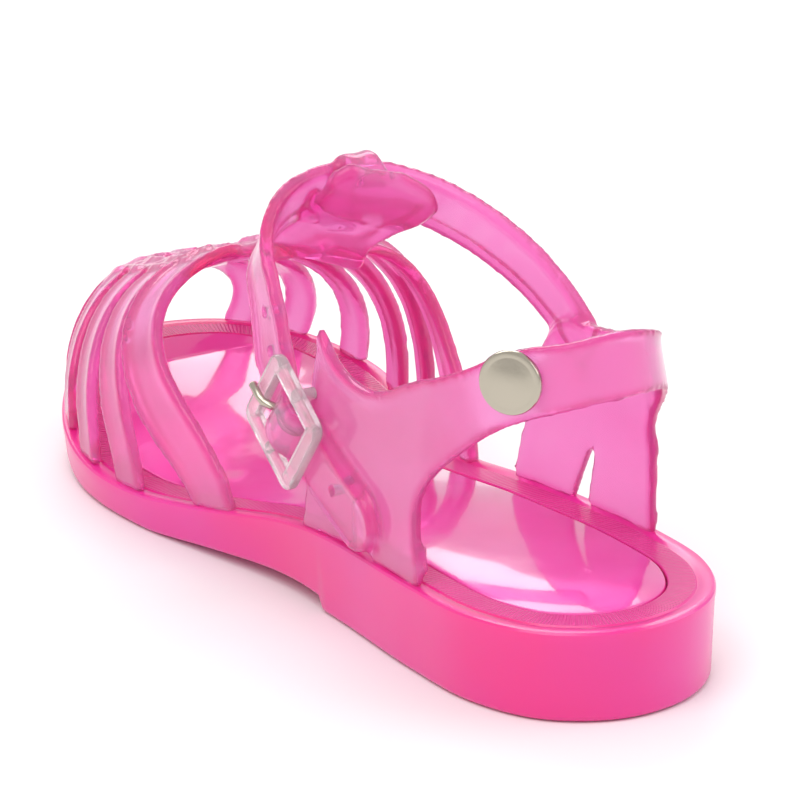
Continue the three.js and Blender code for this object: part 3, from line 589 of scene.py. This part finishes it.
GIRTH = rows(
    "height outer inner",
    (0.15, 0.5, 0.53), (0.4, 0.515, 0.52), (0.62, 0.505, 0.47),
    (0.76, 0.48, 0.43), (0.88, 0.45, 0.385), (1.05, 0.41, 0.35),
)
HEEL_CENTRE = 0.205
HEEL_DEPTH = 0.137
LEG_BLEND = 0.6
OUTER_QUARTER = rows(
    "low low_height high high_height",
    (0.428, None, 0.405, 0.775), (0.375, None, 0.375, 0.72), (0.33, None, 0.34, 0.69),
    (0.285, None, 0.3, 0.69), (0.24, None, 0.262, 0.725), (0.206, None, 0.25, 0.745),
    (0.2095, 0.31, 0.238, 0.76), (0.2105, 0.38, 0.228, 0.772), (0.208, 0.45, 0.218, 0.785),
)
HEEL_BAND = rows(
    "turn low high",
    (-84, 0.53, 0.815), (-70, 0.625, 0.86), (-48, 0.735, 0.94), (-24, 0.785, 0.97),
    (0, 0.805, 0.99), (24, 0.79, 0.965), (48, 0.745, 0.91), (70, 0.65, 0.85), (84, 0.54, 0.815),
)
INNER_QUARTER = rows(
    "low low_height high high_height",
    (0.196, 0.45, 0.203, 0.805), (0.2, 0.38, 0.213, 0.8), (0.203, 0.31, 0.225, 0.79),
    (0.209, None, 0.24, 0.78), (0.25, None, 0.28, 0.76),
    (0.31, None, 0.33, 0.735), (0.355, None, 0.36, 0.685), (0.4, None, 0.385, 0.615),
    (0.435, None, 0.41, 0.52),
)
SHEET_SHARES = (0, 0.1, 0.2, 0.3, 0.4, 0.5, 0.6, 0.7, 0.8, 0.86, 0.91, 0.96, 1)
RIM_OF_QUARTERS = {0: 0.3, 11: 0.8, 12: 0.5}


def girth_at(side, height):
    return value_at(GIRTH, "height", "outer" if side < 0 else "inner", height) * ANKLE_WIDTH


def side_point(side, along, height):
    foot = half_width(side, along) - EDGE_INSET - WALL
    low = top_height(along) / ANKLE_HEIGHT
    share = min(max((height - low) / (LEG_BLEND - low), 0), 1)
    share = share * share * (3 - 2 * share)
    x = side * mix(foot, girth_at(side, height), share)
    return np.array([x, along * SOLE_LENGTH, height * ANKLE_HEIGHT])


def back_point(turn, height):
    side = -1 if turn < 0 else 1
    x = side * girth_at(side, height) * abs(math.sin(math.radians(turn)))
    y = (HEEL_CENTRE - HEEL_DEPTH * math.cos(math.radians(turn))) * SOLE_LENGTH
    return np.array([x, y, height * ANKLE_HEIGHT])


def quarter_column(side, row):
    foot = row["low_height"] or (top_height(row["low"]) - FOOT_DEPTH) / ANKLE_HEIGHT
    return [
        side_point(side, mix(row["low"], row["high"], t), mix(foot, row["high_height"], t))
        for t in SHEET_SHARES
    ]


def quarters():
    columns = [quarter_column(-1, row) for row in OUTER_QUARTER]
    columns += [
        [back_point(row["turn"], mix(row["low"], row["high"], t)) for t in SHEET_SHARES]
        for row in HEEL_BAND
    ]
    columns += [quarter_column(1, row) for row in INNER_QUARTER]

    def thickness(index):
        return WALL + BEAD_RISE * RIM_OF_QUARTERS.get(index, 0)

    return sheet(finer(columns, QUARTER_FINENESS), thickness)


LEG_SLOTS = rows(
    "side rear front apex top",
    (-1, 0.29, 0.322, 0.318, 0.38), (1, 0.312, 0.338, 0.302, 0.4),
)
SLOT_TIP = 0.004
SLOT_DEPTH = 1
SLOT_REACH = (10, ANKLE_WIDTH)


def slot_cutter(slot):
    """A wedge through the quarter, between the two legs."""
    low = top_height(slot["rear"]) - SLOT_DEPTH
    outline = [
        (slot["rear"] * SOLE_LENGTH, low), (slot["front"] * SOLE_LENGTH, low),
        ((slot["apex"] + SLOT_TIP) * SOLE_LENGTH, slot["top"] * ANKLE_HEIGHT),
        ((slot["apex"] - SLOT_TIP) * SOLE_LENGTH, slot["top"] * ANKLE_HEIGHT),
    ]
    return tube([
        [np.array([slot["side"] * x, y, z]) for y, z in outline] for x in SLOT_REACH
    ])


# The buckle's own frame: along the strap, across it and out of the shoe

BUCKLE_CENTRE = dict(side=-0.613, along=0.4245, height=0.51)
BUCKLE_SLOPE = math.radians(36)
BUCKLE_U = np.array([0, -math.cos(BUCKLE_SLOPE), -math.sin(BUCKLE_SLOPE)])
BUCKLE_W = np.array([-1, 0, 0])
BUCKLE_V = np.cross(BUCKLE_W, BUCKLE_U)


def in_buckle(u, v, w):
    return in_ankle(BUCKLE_CENTRE) + BUCKLE_U * u + BUCKLE_V * v + BUCKLE_W * w


ANKLE_STRAP = rows(
    "side along height turn lean",
    (0.475, 0.3, 0.66, 92, 4), (0.482, 0.35, 0.735, 90, 6), (0.47, 0.405, 0.8, 85, 8),
    (0.44, 0.46, 0.845, 74, 12), (0.375, 0.51, 0.885, 56, 18), (0.26, 0.55, 0.92, 34, 25),
    (0.1, 0.573, 0.945, 12, 30), (-0.09, 0.578, 0.95, -10, 30), (-0.27, 0.568, 0.93, -32, 24),
    (-0.4, 0.545, 0.895, -54, 16), (-0.475, 0.525, 0.85, -70, 10), (-0.505, 0.503, 0.785, -80, 5),
    (-0.52, 0.487, 0.715, -86, 2), (-0.535, 0.474, 0.65, -90, 0),
)
# Under the frame, up over the centre bar and down under the frame again
STRAP_IN_BUCKLE = rows(
    "run rise",
    (BUCKLE_LENGTH * -0.4, -3.25), (BUCKLE_LENGTH * -0.25, -3), (CENTRE_BAR * -0.8, 0.36),
    (CENTRE_BAR * 0.8, 0.36), (BUCKLE_LENGTH * 0.25, -2.5), (BUCKLE_LENGTH * 0.4, -2.5),
)
STRAP_TAIL = rows("side along height", (-0.559, 0.35, 0.39), (-0.559, 0.305, 0.34))


def facing(turn, lean):
    """The direction out of a strap: turn 0 faces the toe, 90 the inner side, lean is upwards."""
    turn, lean = math.radians(turn), math.radians(lean)
    return np.array([math.sin(turn) * math.cos(lean), math.cos(turn) * math.cos(lean), math.sin(lean)])


def ankle_strap_frames():
    frames = [(in_ankle(r), facing(r["turn"], r["lean"]), STRAP_WIDTH, 1) for r in ANKLE_STRAP]
    frames += [(in_buckle(r["run"], 0, r["rise"]), BUCKLE_W, STRAP_WIDTH, 0) for r in STRAP_IN_BUCKLE]
    frames += [(in_ankle(r), BUCKLE_W, STRAP_WIDTH, 1) for r in STRAP_TAIL]
    return frames


TIP_SHARES = (0.25, 0.5, 0.7, 0.85, 0.95)


def smooth_ankle_frames():
    """The ankle strap from the inner quarter through the buckle to its round tip."""
    frames = ankle_strap_frames()
    run = unit(frames[-1][0] - frames[-2][0])
    end = frames[-1]
    smooth = resampled(frames, ANKLE_STEPS)
    for share in TIP_SHARES:
        place = end[0] + run * share * STRAP_WIDTH / 2
        smooth.append((place, end[1], STRAP_WIDTH * math.sqrt(1 - share * share), 1))
    return smooth


def ankle_strap():
    return ribbon(smooth_ankle_frames(), (BEAD_RISE, BEAD_RISE))


KEEPER_CENTRE = dict(side=0.05, along=0.572, height=0.95)
KEEPER = rows(
    "along height",
    (0.525, 0.985), (0.545, 1.02), (0.558, 1.035), (0.573, 1.02),
    (0.598, 0.94), (0.605, 0.885), (0.596, 0.86), (0.58, 0.872),
)


def keeper():
    """The loop from the tongue's end round the ankle strap."""
    places = [in_ankle(dict(row, side=KEEPER_CENTRE["side"])) for row in KEEPER]
    centre = in_ankle(KEEPER_CENTRE)
    frames = [(place, unit(place - centre), KEEPER_WIDTH, 1) for place in places]
    return ribbon(resampled(frames, KEEPER_STEPS), (SLIGHT_BEAD, SLIGHT_BEAD))


# Each hole lies between a frame of the ankle strap and the next, by the share
PIN_HOLES = rows("row share", (11, 0.6), (12, 0.9), (20, 0.1))
PIN_HOLE_REACH = (-2, WALL * 2.5)


def pin_hole(row):
    frames = ankle_strap_frames()
    before, after = frames[row["row"]], frames[row["row"] + 1]
    centre = mix(before[0], after[0], row["share"])
    axis = unit(mix(before[1], after[1], row["share"]))
    return rod(centre, axis, PIN_HOLE / 2, *PIN_HOLE_REACH)


# A direction that no axis of a rod has
ASLANT = (0.31, 0.52, 0.8)


def circle(centre, axis, radius, count=24):
    side = unit(np.cross(axis, ASLANT))
    other = np.cross(axis, side)
    turns = [2 * math.pi * i / count for i in range(count)]
    return [centre + (side * math.cos(a) + other * math.sin(a)) * radius for a in turns]


def rod(centre, axis, radius, low, high):
    return tube([circle(centre + axis * low, axis, radius), circle(centre + axis * high, axis, radius)])


# Objects from places and faces

def placed(places):
    """From the shapes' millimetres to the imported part's metres."""
    return (np.asarray(places) + MOVE) / 1000


def mesh_object(name, parts, smooth_angle=None, mapping=None):
    places, faces = [], []
    for part_places, part_faces in parts:
        base = len(places)
        places.extend(placed(part_places).tolist())
        faces.extend(tuple(base + i for i in face) for face in part_faces)
    mesh = bpy.data.meshes.new(name)
    mesh.from_pydata(places, [], faces)
    mesh.validate()
    if mapping:
        mapping(mesh)
    made = bpy.data.objects.new(name, mesh)
    bpy.context.collection.objects.link(made)
    outward(made)
    if smooth_angle is None:
        mesh.shade_smooth()
    else:
        shade_by_angle(made, smooth_angle)
    return made


def outward(made):
    """Turns every face of each closed part outwards."""
    work = bmesh.new()
    work.from_mesh(made.data)
    bmesh.ops.recalc_face_normals(work, faces=work.faces)
    work.to_mesh(made.data)
    work.free()


def shade_by_angle(made, degrees):
    made.data.shade_smooth()
    made.data.set_sharp_from_angle(angle=math.radians(degrees))


def applied(made):
    """The object's mesh with its modifiers worked in."""
    graph = bpy.context.evaluated_depsgraph_get()
    mesh = bpy.data.meshes.new_from_object(made.evaluated_get(graph))
    made.modifiers.clear()
    made.data = mesh
    return made


def fused(made):
    """One smooth skin over all overlapping parts, as moulding leaves it."""
    remesh = made.modifiers.new("fuse", "REMESH")
    remesh.mode = "VOXEL"
    remesh.voxel_size = FUSE_SIZE / 1000
    remesh.use_smooth_shade = True
    smooth = made.modifiers.new("soften", "SMOOTH")
    smooth.factor = 0.5
    smooth.iterations = FUSE_SMOOTHING
    return applied(made)


def cut(made, cutter_parts):
    for index, part in enumerate(cutter_parts):
        cutter = mesh_object(f"cutter_{index}", [part])
        boolean = made.modifiers.new("cut", "BOOLEAN")
        boolean.operation = "DIFFERENCE"
        boolean.solver = "EXACT"
        boolean.object = cutter
        applied(made)
        bpy.data.objects.remove(cutter)
    return made


# Materials

SOLE_CLOUDS = 22
INSOLE_CLOUDS = 30


def new_material(name):
    made = bpy.data.materials.new(name)
    made.use_nodes = True
    tree = made.node_tree
    return made, tree, tree.nodes["Principled BSDF"]


def add_bump(tree, shader, scale, strength, distance, detail=3.0):
    """Faint unevenness of the surface."""
    coordinates = tree.nodes.new("ShaderNodeTexCoord")
    noise = tree.nodes.new("ShaderNodeTexNoise")
    noise.inputs["Scale"].default_value = scale
    noise.inputs["Detail"].default_value = detail
    bump = tree.nodes.new("ShaderNodeBump")
    bump.inputs["Strength"].default_value = strength
    bump.inputs["Distance"].default_value = distance
    tree.links.new(coordinates.outputs["Object"], noise.inputs["Vector"])
    tree.links.new(noise.outputs["Fac"], bump.inputs["Height"])
    tree.links.new(bump.outputs["Normal"], shader.inputs["Normal"])
    return noise


def vary_roughness(tree, shader, noise, low, high):
    ramp = tree.nodes.new("ShaderNodeMapRange")
    ramp.inputs["To Min"].default_value = low
    ramp.inputs["To Max"].default_value = high
    tree.links.new(noise.outputs["Fac"], ramp.inputs["Value"])
    tree.links.new(ramp.outputs["Result"], shader.inputs["Roughness"])


def jelly_upper():
    """Cloudy soft plastic: clear enough to see through, deeper where it is thick, with a painted shade of
    deeper pink near its rims.
    """
    made, tree, shader = new_material("jelly_upper")
    # The rim attribute mixes a painted edge shade, a deeper pink, into the base colour
    rim = tree.nodes.new("ShaderNodeAttribute")
    rim.attribute_name = "rim"
    edge_shade = tree.nodes.new("ShaderNodeValToRGB")
    edge_shade.color_ramp.elements[0].color = BODY_PINK
    edge_shade.color_ramp.elements[1].color = EDGE_SHADE_PINK
    tree.links.new(rim.outputs["Fac"], edge_shade.inputs["Fac"])
    tree.links.new(edge_shade.outputs["Color"], shader.inputs["Base Color"])
    shader.inputs["Transmission Weight"].default_value = 0.76
    shader.inputs["IOR"].default_value = 1.22
    shader.inputs["Coat Weight"].default_value = 0.6
    shader.inputs["Coat Roughness"].default_value = 0.08
    noise = add_bump(tree, shader, scale=90, strength=0.12, distance=0.0006)
    vary_roughness(tree, shader, noise, low=0.16, high=0.3)
    absorb = tree.nodes.new("ShaderNodeVolumeAbsorption")
    absorb.inputs["Color"].default_value = DEPTH_PINK
    absorb.inputs["Density"].default_value = 140
    output = tree.nodes["Material Output"]
    tree.links.new(absorb.outputs["Volume"], output.inputs["Volume"])
    return made


def jelly_sole():
    """The same plastic where it is too thick to see through, faintly clouded."""
    made, tree, shader = new_material("jelly_sole")
    tint = cloudy_tint(tree, SOLE_CLOUDS, *SOLE_PINKS)
    tree.links.new(tint.outputs["Color"], shader.inputs["Base Color"])
    shader.inputs["Subsurface Weight"].default_value = 0.35
    shader.inputs["Subsurface Radius"].default_value = (1, 0.1, 0.4)
    shader.inputs["Subsurface Scale"].default_value = 0.004
    shader.inputs["Coat Weight"].default_value = 0.5
    shader.inputs["Coat Roughness"].default_value = 0.15
    noise = add_bump(tree, shader, scale=60, strength=0.08, distance=0.0006)
    vary_roughness(tree, shader, noise, low=0.28, high=0.42)
    return made


def jelly_ribs():
    """The sole's plastic on the band round the insole, with its fine cross ribs."""
    made, tree, shader = new_material("jelly_ribs")
    shader.inputs["Base Color"].default_value = RIB_PINK
    shader.inputs["Coat Weight"].default_value = 0.3
    shader.inputs["Coat Roughness"].default_value = 0.2
    shader.inputs["Roughness"].default_value = 0.4
    place = tree.nodes.new("ShaderNodeUVMap")
    place.uv_map = "band"
    split = tree.nodes.new("ShaderNodeSeparateXYZ")
    tree.links.new(place.outputs["UV"], split.inputs["Vector"])
    turn = tree.nodes.new("ShaderNodeMath")
    turn.operation = "MULTIPLY"
    turn.inputs[1].default_value = 2 * math.pi / RIB_PITCH
    tree.links.new(split.outputs["X"], turn.inputs[0])
    wave = tree.nodes.new("ShaderNodeMath")
    wave.operation = "SINE"
    tree.links.new(turn.outputs["Value"], wave.inputs[0])
    bump = tree.nodes.new("ShaderNodeBump")
    bump.inputs["Strength"].default_value = 0.7
    bump.inputs["Distance"].default_value = RIB_HEIGHT / 1000
    tree.links.new(wave.outputs["Value"], bump.inputs["Height"])
    tree.links.new(bump.outputs["Normal"], shader.inputs["Normal"])
    return made


def cloudy_tint(tree, scale, first, second):
    """Slow drifts between two close colours."""
    coordinates = tree.nodes.new("ShaderNodeTexCoord")
    noise = tree.nodes.new("ShaderNodeTexNoise")
    noise.inputs["Scale"].default_value = scale
    noise.inputs["Detail"].default_value = 2
    ramp = tree.nodes.new("ShaderNodeValToRGB")
    ramp.color_ramp.elements[0].position = 0.35
    ramp.color_ramp.elements[0].color = first
    ramp.color_ramp.elements[1].position = 0.65
    ramp.color_ramp.elements[1].color = second
    tree.links.new(coordinates.outputs["Object"], noise.inputs["Vector"])
    tree.links.new(noise.outputs["Fac"], ramp.inputs["Fac"])
    return ramp


def jelly_insole():
    """Glossy and a little uneven, so that it mirrors in patches."""
    made, tree, shader = new_material("jelly_insole")
    tint = cloudy_tint(tree, INSOLE_CLOUDS, *INSOLE_PINKS)
    tree.links.new(tint.outputs["Color"], shader.inputs["Base Color"])
    shader.inputs["Subsurface Weight"].default_value = 0.3
    shader.inputs["Subsurface Radius"].default_value = (1, 0.2, 0.5)
    shader.inputs["Subsurface Scale"].default_value = 0.004
    shader.inputs["Coat Weight"].default_value = 0.7
    shader.inputs["Coat Roughness"].default_value = 0.05
    noise = add_bump(tree, shader, scale=35, strength=0.25, distance=0.0012, detail=4.0)
    vary_roughness(tree, shader, noise, low=0.1, high=0.25)
    return made


def clear_buckle():
    made, tree, shader = new_material("clear_buckle")
    shader.inputs["Base Color"].default_value = CLEAR_PINK
    shader.inputs["Transmission Weight"].default_value = 0.8
    shader.inputs["IOR"].default_value = 1.35
    shader.inputs["Coat Weight"].default_value = 0.5
    noise = add_bump(tree, shader, scale=220, strength=0.2, distance=0.0004)
    vary_roughness(tree, shader, noise, low=0.1, high=0.25)
    return made


def plated_metal():
    made, tree, shader = new_material("plated_metal")
    shader.inputs["Base Color"].default_value = WARM_METAL
    shader.inputs["Metallic"].default_value = 1
    noise = add_bump(tree, shader, scale=400, strength=0.1, distance=0.0002)
    vary_roughness(tree, shader, noise, low=0.14, high=0.26)
    return made


# Pieces

def make_piece(made, node, material):
    made.data.materials.clear()
    made.data.materials.append(material)
    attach(made, "root")
    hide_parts(node)
    return made


def make_upper():
    leaf, heel = tongue(), quarters()
    parts = [spine(), leaf, ankle_strap(), keeper(), *weave_blocks()]
    rims = sheet_rims(leaf, len(TONGUE_ACROSS)) + sheet_rims(heel, len(SHEET_SHARES))
    rims += strap_rims(smooth_ankle_frames())
    for side, straps in ((-1, OUTER_STRAPS), (1, INNER_STRAPS)):
        for row in straps:
            parts.append(cage_strap(side, row))
            rims += strap_rims(cage_frames(side, row))
    sides = cut(mesh_object("quarters", [heel]), [slot_cutter(slot) for slot in LEG_SLOTS])
    made = mesh_object("sandal_upper", parts)
    join(made, sides)
    fused(made)
    holes = [pin_hole(row) for row in PIN_HOLES]
    cut(made, holes)
    made.data.shade_smooth()
    # Painted shade: a deeper pink on the upper near its edges
    paint_edge_shade(made, rims)
    return make_piece(made, "upper", jelly_upper())


def paint_edge_shade(made, rims):
    """Marks how near each place is to an edge, where a deeper pink is painted on as shade."""
    tree = KDTree(len(rims))
    for index, place in enumerate(placed(rims)):
        tree.insert(place, index)
    tree.balance()
    near, far = (reach / 1000 for reach in EDGE_SHADE_REACH)
    shares = []
    for vertex in made.data.vertices:
        distance = tree.find(vertex.co)[2]
        shares.append(min(max((far - distance) / (far - near), 0), 1))
    # The rim attribute holds how strongly the painted edge shade shows
    layer = made.data.attributes.new("rim", "FLOAT", "POINT")
    layer.data.foreach_set("value", shares)


def join(made, other):
    with bpy.context.temp_override(
        active_object=made, object=made,
        selected_objects=[made, other], selected_editable_objects=[made, other],
    ):
        bpy.ops.object.join()


# Edges sharper than this stay sharp, in degrees
SOLE_SHARPNESS = 35
HARD_SHARPNESS = 40

# The sole's top from its outer edge inwards; the ribbed band starts at the fourth ring from the last
RIBBED_FROM_LAST = 4
RECESS_INSET = RIM_WIDTH + GAP + RIBBED_WIDTH
TOP_STEPS = rows(
    "inset drop",
    (SOLE_DRAFT * 0.3, 2.4), (0.05, 1.6), (0.05, 0.5), (0.35, 0.1), (0.9, 0),
    (RIM_WIDTH - 0.5, 0), (RIM_WIDTH, 0.35), (RIM_WIDTH + 0.3, 0.35), (RIM_WIDTH + 0.6, 0.05),
    (RECESS_INSET - 0.2, 0.05), (RECESS_INSET, 0.25), (RECESS_INSET, INSOLE_THICKNESS + GAP),
)
INSOLE_STEPS = rows(
    "inset drop",
    (RECESS_INSET + GAP, INSOLE_THICKNESS), (RECESS_INSET + GAP, 0.5),
    (RECESS_INSET + GAP + 0.2, 0.15), (RECESS_INSET + GAP + 0.6, 0),
)


def stepped_rings(steps):
    """Rings down from the sole's top, a row of the table for each."""
    return [
        ring(step["inset"], lambda along, drop=step["drop"]: top_height(along) - drop)
        for step in steps
    ]


def make_outsole():
    rings = [ring(SOLE_DRAFT + EDGE_ROUND, bottom_height)]
    for turn in (30, 60, 90):
        inset = EDGE_ROUND * (1 - math.sin(math.radians(turn)))
        rise = EDGE_ROUND * (1 - math.cos(math.radians(turn)))
        rings.append(ring(SOLE_DRAFT + inset, lambda along, r=rise: bottom_height(along) + r))
    rings += stepped_rings(TOP_STEPS)
    made = mesh_object("sandal_outsole", [ring_solid(rings)], SOLE_SHARPNESS, band_places)
    make_piece(made, "outsole", jelly_sole())
    made.data.materials.append(jelly_ribs())
    for polygon in made.data.polygons:
        if polygon.index // len(RIM) == len(rings) - RIBBED_FROM_LAST:
            polygon.material_index = 1
    return made


def band_places(mesh):
    """Gives each face corner its way round the sole, in millimetres, and across its band."""
    count = len(RIM)
    layer = mesh.uv_layers.new(name="band")
    for polygon in mesh.polygons:
        if polygon.index >= len(mesh.polygons) - count or len(polygon.vertices) != 4:
            continue
        station = polygon.index % count
        for loop in polygon.loop_indices:
            vertex = mesh.loops[loop].vertex_index
            here = vertex % count
            around = ARC[here] if here or station == 0 else ARC[-1] + ARC[1]
            layer.data[loop].uv = (around, vertex // count)


def make_insole():
    rings = stepped_rings(INSOLE_STEPS)
    made = mesh_object("sandal_insole", [ring_solid(rings)], SOLE_SHARPNESS)
    return make_piece(made, "insole", jelly_insole())


def squared(value):
    """Draws a circle's coordinate out towards a square."""
    return math.copysign(abs(value) ** BUCKLE_SQUARENESS, value)


CORNER_SHARE = 0.75
CORNER_STEPS = 8
SECTION_STEPS = 20


def rounded_loop(length, width, bar, thick, low):
    """A rectangular loop with round corners and a rounded section."""
    corner = bar * CORNER_SHARE
    path = []
    for cx, cy, start in ((1, 1, 0), (-1, 1, 90), (-1, -1, 180), (1, -1, 270)):
        for step in range(CORNER_STEPS + 1):
            turn = math.radians(start + step * 90 / CORNER_STEPS)
            x = cx * (length / 2 - corner) + (corner - bar / 2) * math.cos(turn)
            y = cy * (width / 2 - corner) + (corner - bar / 2) * math.sin(turn)
            path.append((x, y, turn))
    sections = []
    for x, y, turn in path:
        section = []
        for step in range(SECTION_STEPS):
            angle = 2 * math.pi * step / SECTION_STEPS
            side = squared(math.cos(angle)) * bar / 2
            rise = squared(math.sin(angle)) * thick / 2
            section.append(in_buckle(
                x + side * math.cos(turn), y + side * math.sin(turn), low + thick / 2 + rise))
        sections.append(section)
    sections.append(sections[0])
    places, faces = tube(sections)
    return places, faces[:-2]


def make_buckle():
    frame_loop = rounded_loop(BUCKLE_LENGTH, BUCKLE_WIDTH, BUCKLE_BAR, BUCKLE_THICKNESS, 0)
    centre, radius = in_buckle(0, 0, -CENTRE_BAR / 2), CENTRE_BAR / 2
    bar = rod(centre, BUCKLE_V, radius, -CENTRE_BAR_END, CENTRE_BAR_END)
    posts = [
        rod(in_buckle(0, side * POST_PLACE, 0), BUCKLE_W, radius, -CENTRE_BAR, BUCKLE_THICKNESS / 2)
        for side in (-1, 1)
    ]
    made = mesh_object("buckle_frame", [frame_loop, bar, *posts])
    weld = made.modifiers.new("weld", "WELD")
    weld.merge_threshold = 1e-6
    applied(made)
    shade_by_angle(made, HARD_SHARPNESS)
    return make_piece(made, "buckle", clear_buckle())


WIRE_END = 0.55


def wire(path, radius, count=16):
    """Round wire along a path across the buckle's bar, with its ends drawn in."""
    sections = []
    for index, place in enumerate(path):
        run = unit(path[min(index + 1, len(path) - 1)] - path[max(index - 1, 0)])
        side = BUCKLE_V
        other = unit(np.cross(run, side))
        ends = min(index, len(path) - 1 - index)
        size = radius * (WIRE_END if ends == 0 else 1)
        turns = [2 * math.pi * i / count for i in range(count)]
        sections.append([place + (side * math.cos(a) + other * math.sin(a)) * size for a in turns])
    return tube(sections)


PRONG_CURL = range(-240, 61, 15)
PRONG_REST = rows(
    "from_end drop",
    (BUCKLE_BAR * 1.3, 0.2), (BUCKLE_BAR, 0), (0.4, 0), (0.1, 0),
)


def make_prong():
    """Curled round the centre bar, with its tip resting on the frame."""
    eye = CENTRE_BAR / 2 + GAP + PRONG / 2
    rest = BUCKLE_THICKNESS + GAP + PRONG / 2
    path = []
    for turn in PRONG_CURL:
        angle = math.radians(turn + 90)
        path.append(in_buckle(eye * math.cos(angle), 0, -CENTRE_BAR / 2 + eye * math.sin(angle)))
    for row in PRONG_REST:
        path.append(in_buckle(-BUCKLE_LENGTH / 2 + row["from_end"], 0, rest - row["drop"]))
    made = mesh_object("buckle_prong", [wire(path, PRONG / 2)])
    return make_piece(made, "prong", METAL)


RIVET_TURN = -47
RIVET_HEIGHT = 0.86
RIVET_NEIGHBOURS = (2, 0.02)
RIVET_SIDES = 64
RIVET_SEAT = WALL + GAP
RIVET_PROFILE = rows(
    "radius rise",
    (0.02, -1.7), (3.6, -1.7), (3.96, -1.4), (3.96, -0.8), (3.7, -0.7), (1.5, -0.7),
    (1.5, RIVET_SEAT), (5.8, RIVET_SEAT), (6, RIVET_SEAT + 0.2), (6, RIVET_SEAT + 0.85),
    (5.85, RIVET_SEAT + 1.15), (5.5, RIVET_SEAT + 1.25), (4.9, RIVET_SEAT + 1.18),
    (4.6, RIVET_SEAT + 1.2), (3, RIVET_SEAT + 1.42), (1.5, RIVET_SEAT + 1.54),
    (0.02, RIVET_SEAT + RIVET_RISE),
)


def make_rivet():
    """Turned about the line that leaves the heel band squarely at its centre."""
    centre = back_point(RIVET_TURN, RIVET_HEIGHT)
    turn, height = RIVET_NEIGHBOURS
    around = back_point(RIVET_TURN + turn, RIVET_HEIGHT) - back_point(RIVET_TURN - turn, RIVET_HEIGHT)
    upward = back_point(RIVET_TURN, RIVET_HEIGHT + height) - back_point(RIVET_TURN, RIVET_HEIGHT - height)
    axis = unit(np.cross(upward, around))
    if axis @ (centre - np.array([0, HEEL_CENTRE * SOLE_LENGTH, centre[2]])) < 0:
        axis = -axis
    sections = [
        circle(centre + axis * row["rise"], axis, row["radius"], RIVET_SIDES)
        for row in RIVET_PROFILE
    ]
    made = mesh_object("heel_rivet", [tube(sections)], HARD_SHARPNESS)
    return make_piece(made, "rivet", METAL)


# The prong and the rivet share one metal
METAL = plated_metal()
make_outsole()
make_insole()
make_upper()
make_buckle()
make_prong()
make_rivet()


# Floor, light and camera, in metres

FLOOR_SIZE = 8
FLOOR_DROP = 0.0002
LIGHT_TARGET = Vector((0, 0, 0.03))
WORLD_STRENGTH = 0.72
SOFTBOXES = rows(
    "name place size power",
    ("key", (-0.5, -0.3, 0.9), (0.8, 0.8), 5),
    ("fill", (0.8, -0.5, 0.6), (0.8, 0.6), 2.5),
    ("rim", (0.3, 0.9, 0.7), (0.9, 0.4), 4),
)


def make_floor():
    bpy.ops.mesh.primitive_plane_add(size=FLOOR_SIZE, location=(0, 0, -FLOOR_DROP))
    floor = bpy.context.object
    floor.name = "floor"
    made, _, shader = new_material("pale_floor")
    shader.inputs["Base Color"].default_value = FLOOR_WHITE
    shader.inputs["Roughness"].default_value = 0.6
    floor.data.materials.append(made)


def make_softbox(name, place, size, power):
    light = bpy.data.lights.new(name, "AREA")
    light.shape = "RECTANGLE"
    light.size, light.size_y = size
    light.energy = power
    made = bpy.data.objects.new(name, light)
    bpy.context.collection.objects.link(made)
    made.location = place
    made.rotation_mode = "QUATERNION"
    made.rotation_quaternion = (LIGHT_TARGET - Vector(place)).to_track_quat("-Z", "Y")


def make_world():
    world = bpy.data.worlds.new("studio")
    world.use_nodes = True
    sky = world.node_tree.nodes["Background"]
    sky.inputs["Color"].default_value = SKY_WHITE
    sky.inputs["Strength"].default_value = WORLD_STRENGTH
    bpy.context.scene.world = world


CAMERA_AZIMUTH = -30.93
CAMERA_ELEVATION = 20.88
CAMERA_DISTANCE = 1.3117
CAMERA_LENS = 310
SENSOR_WIDTH = 36
CAMERA_TARGET = Vector((0, -0.005, 0.032))


def make_camera():
    camera = bpy.data.cameras.new("camera")
    camera.lens = CAMERA_LENS
    camera.sensor_width = SENSOR_WIDTH
    made = bpy.data.objects.new("camera", camera)
    bpy.context.collection.objects.link(made)
    a, e = math.radians(CAMERA_AZIMUTH), math.radians(CAMERA_ELEVATION)
    back = Vector((math.sin(a) * math.cos(e), -math.cos(a) * math.cos(e), math.sin(e)))
    made.location = CAMERA_TARGET + back * CAMERA_DISTANCE
    made.rotation_mode = "QUATERNION"
    made.rotation_quaternion = (-back).to_track_quat("-Z", "Y")
    bpy.context.scene.camera = made


# Plain display colours, as in a product photograph on white
bpy.context.scene.view_settings.view_transform = "Standard"

make_floor()
make_world()
for softbox in SOFTBOXES:
    make_softbox(**softbox)
make_camera()
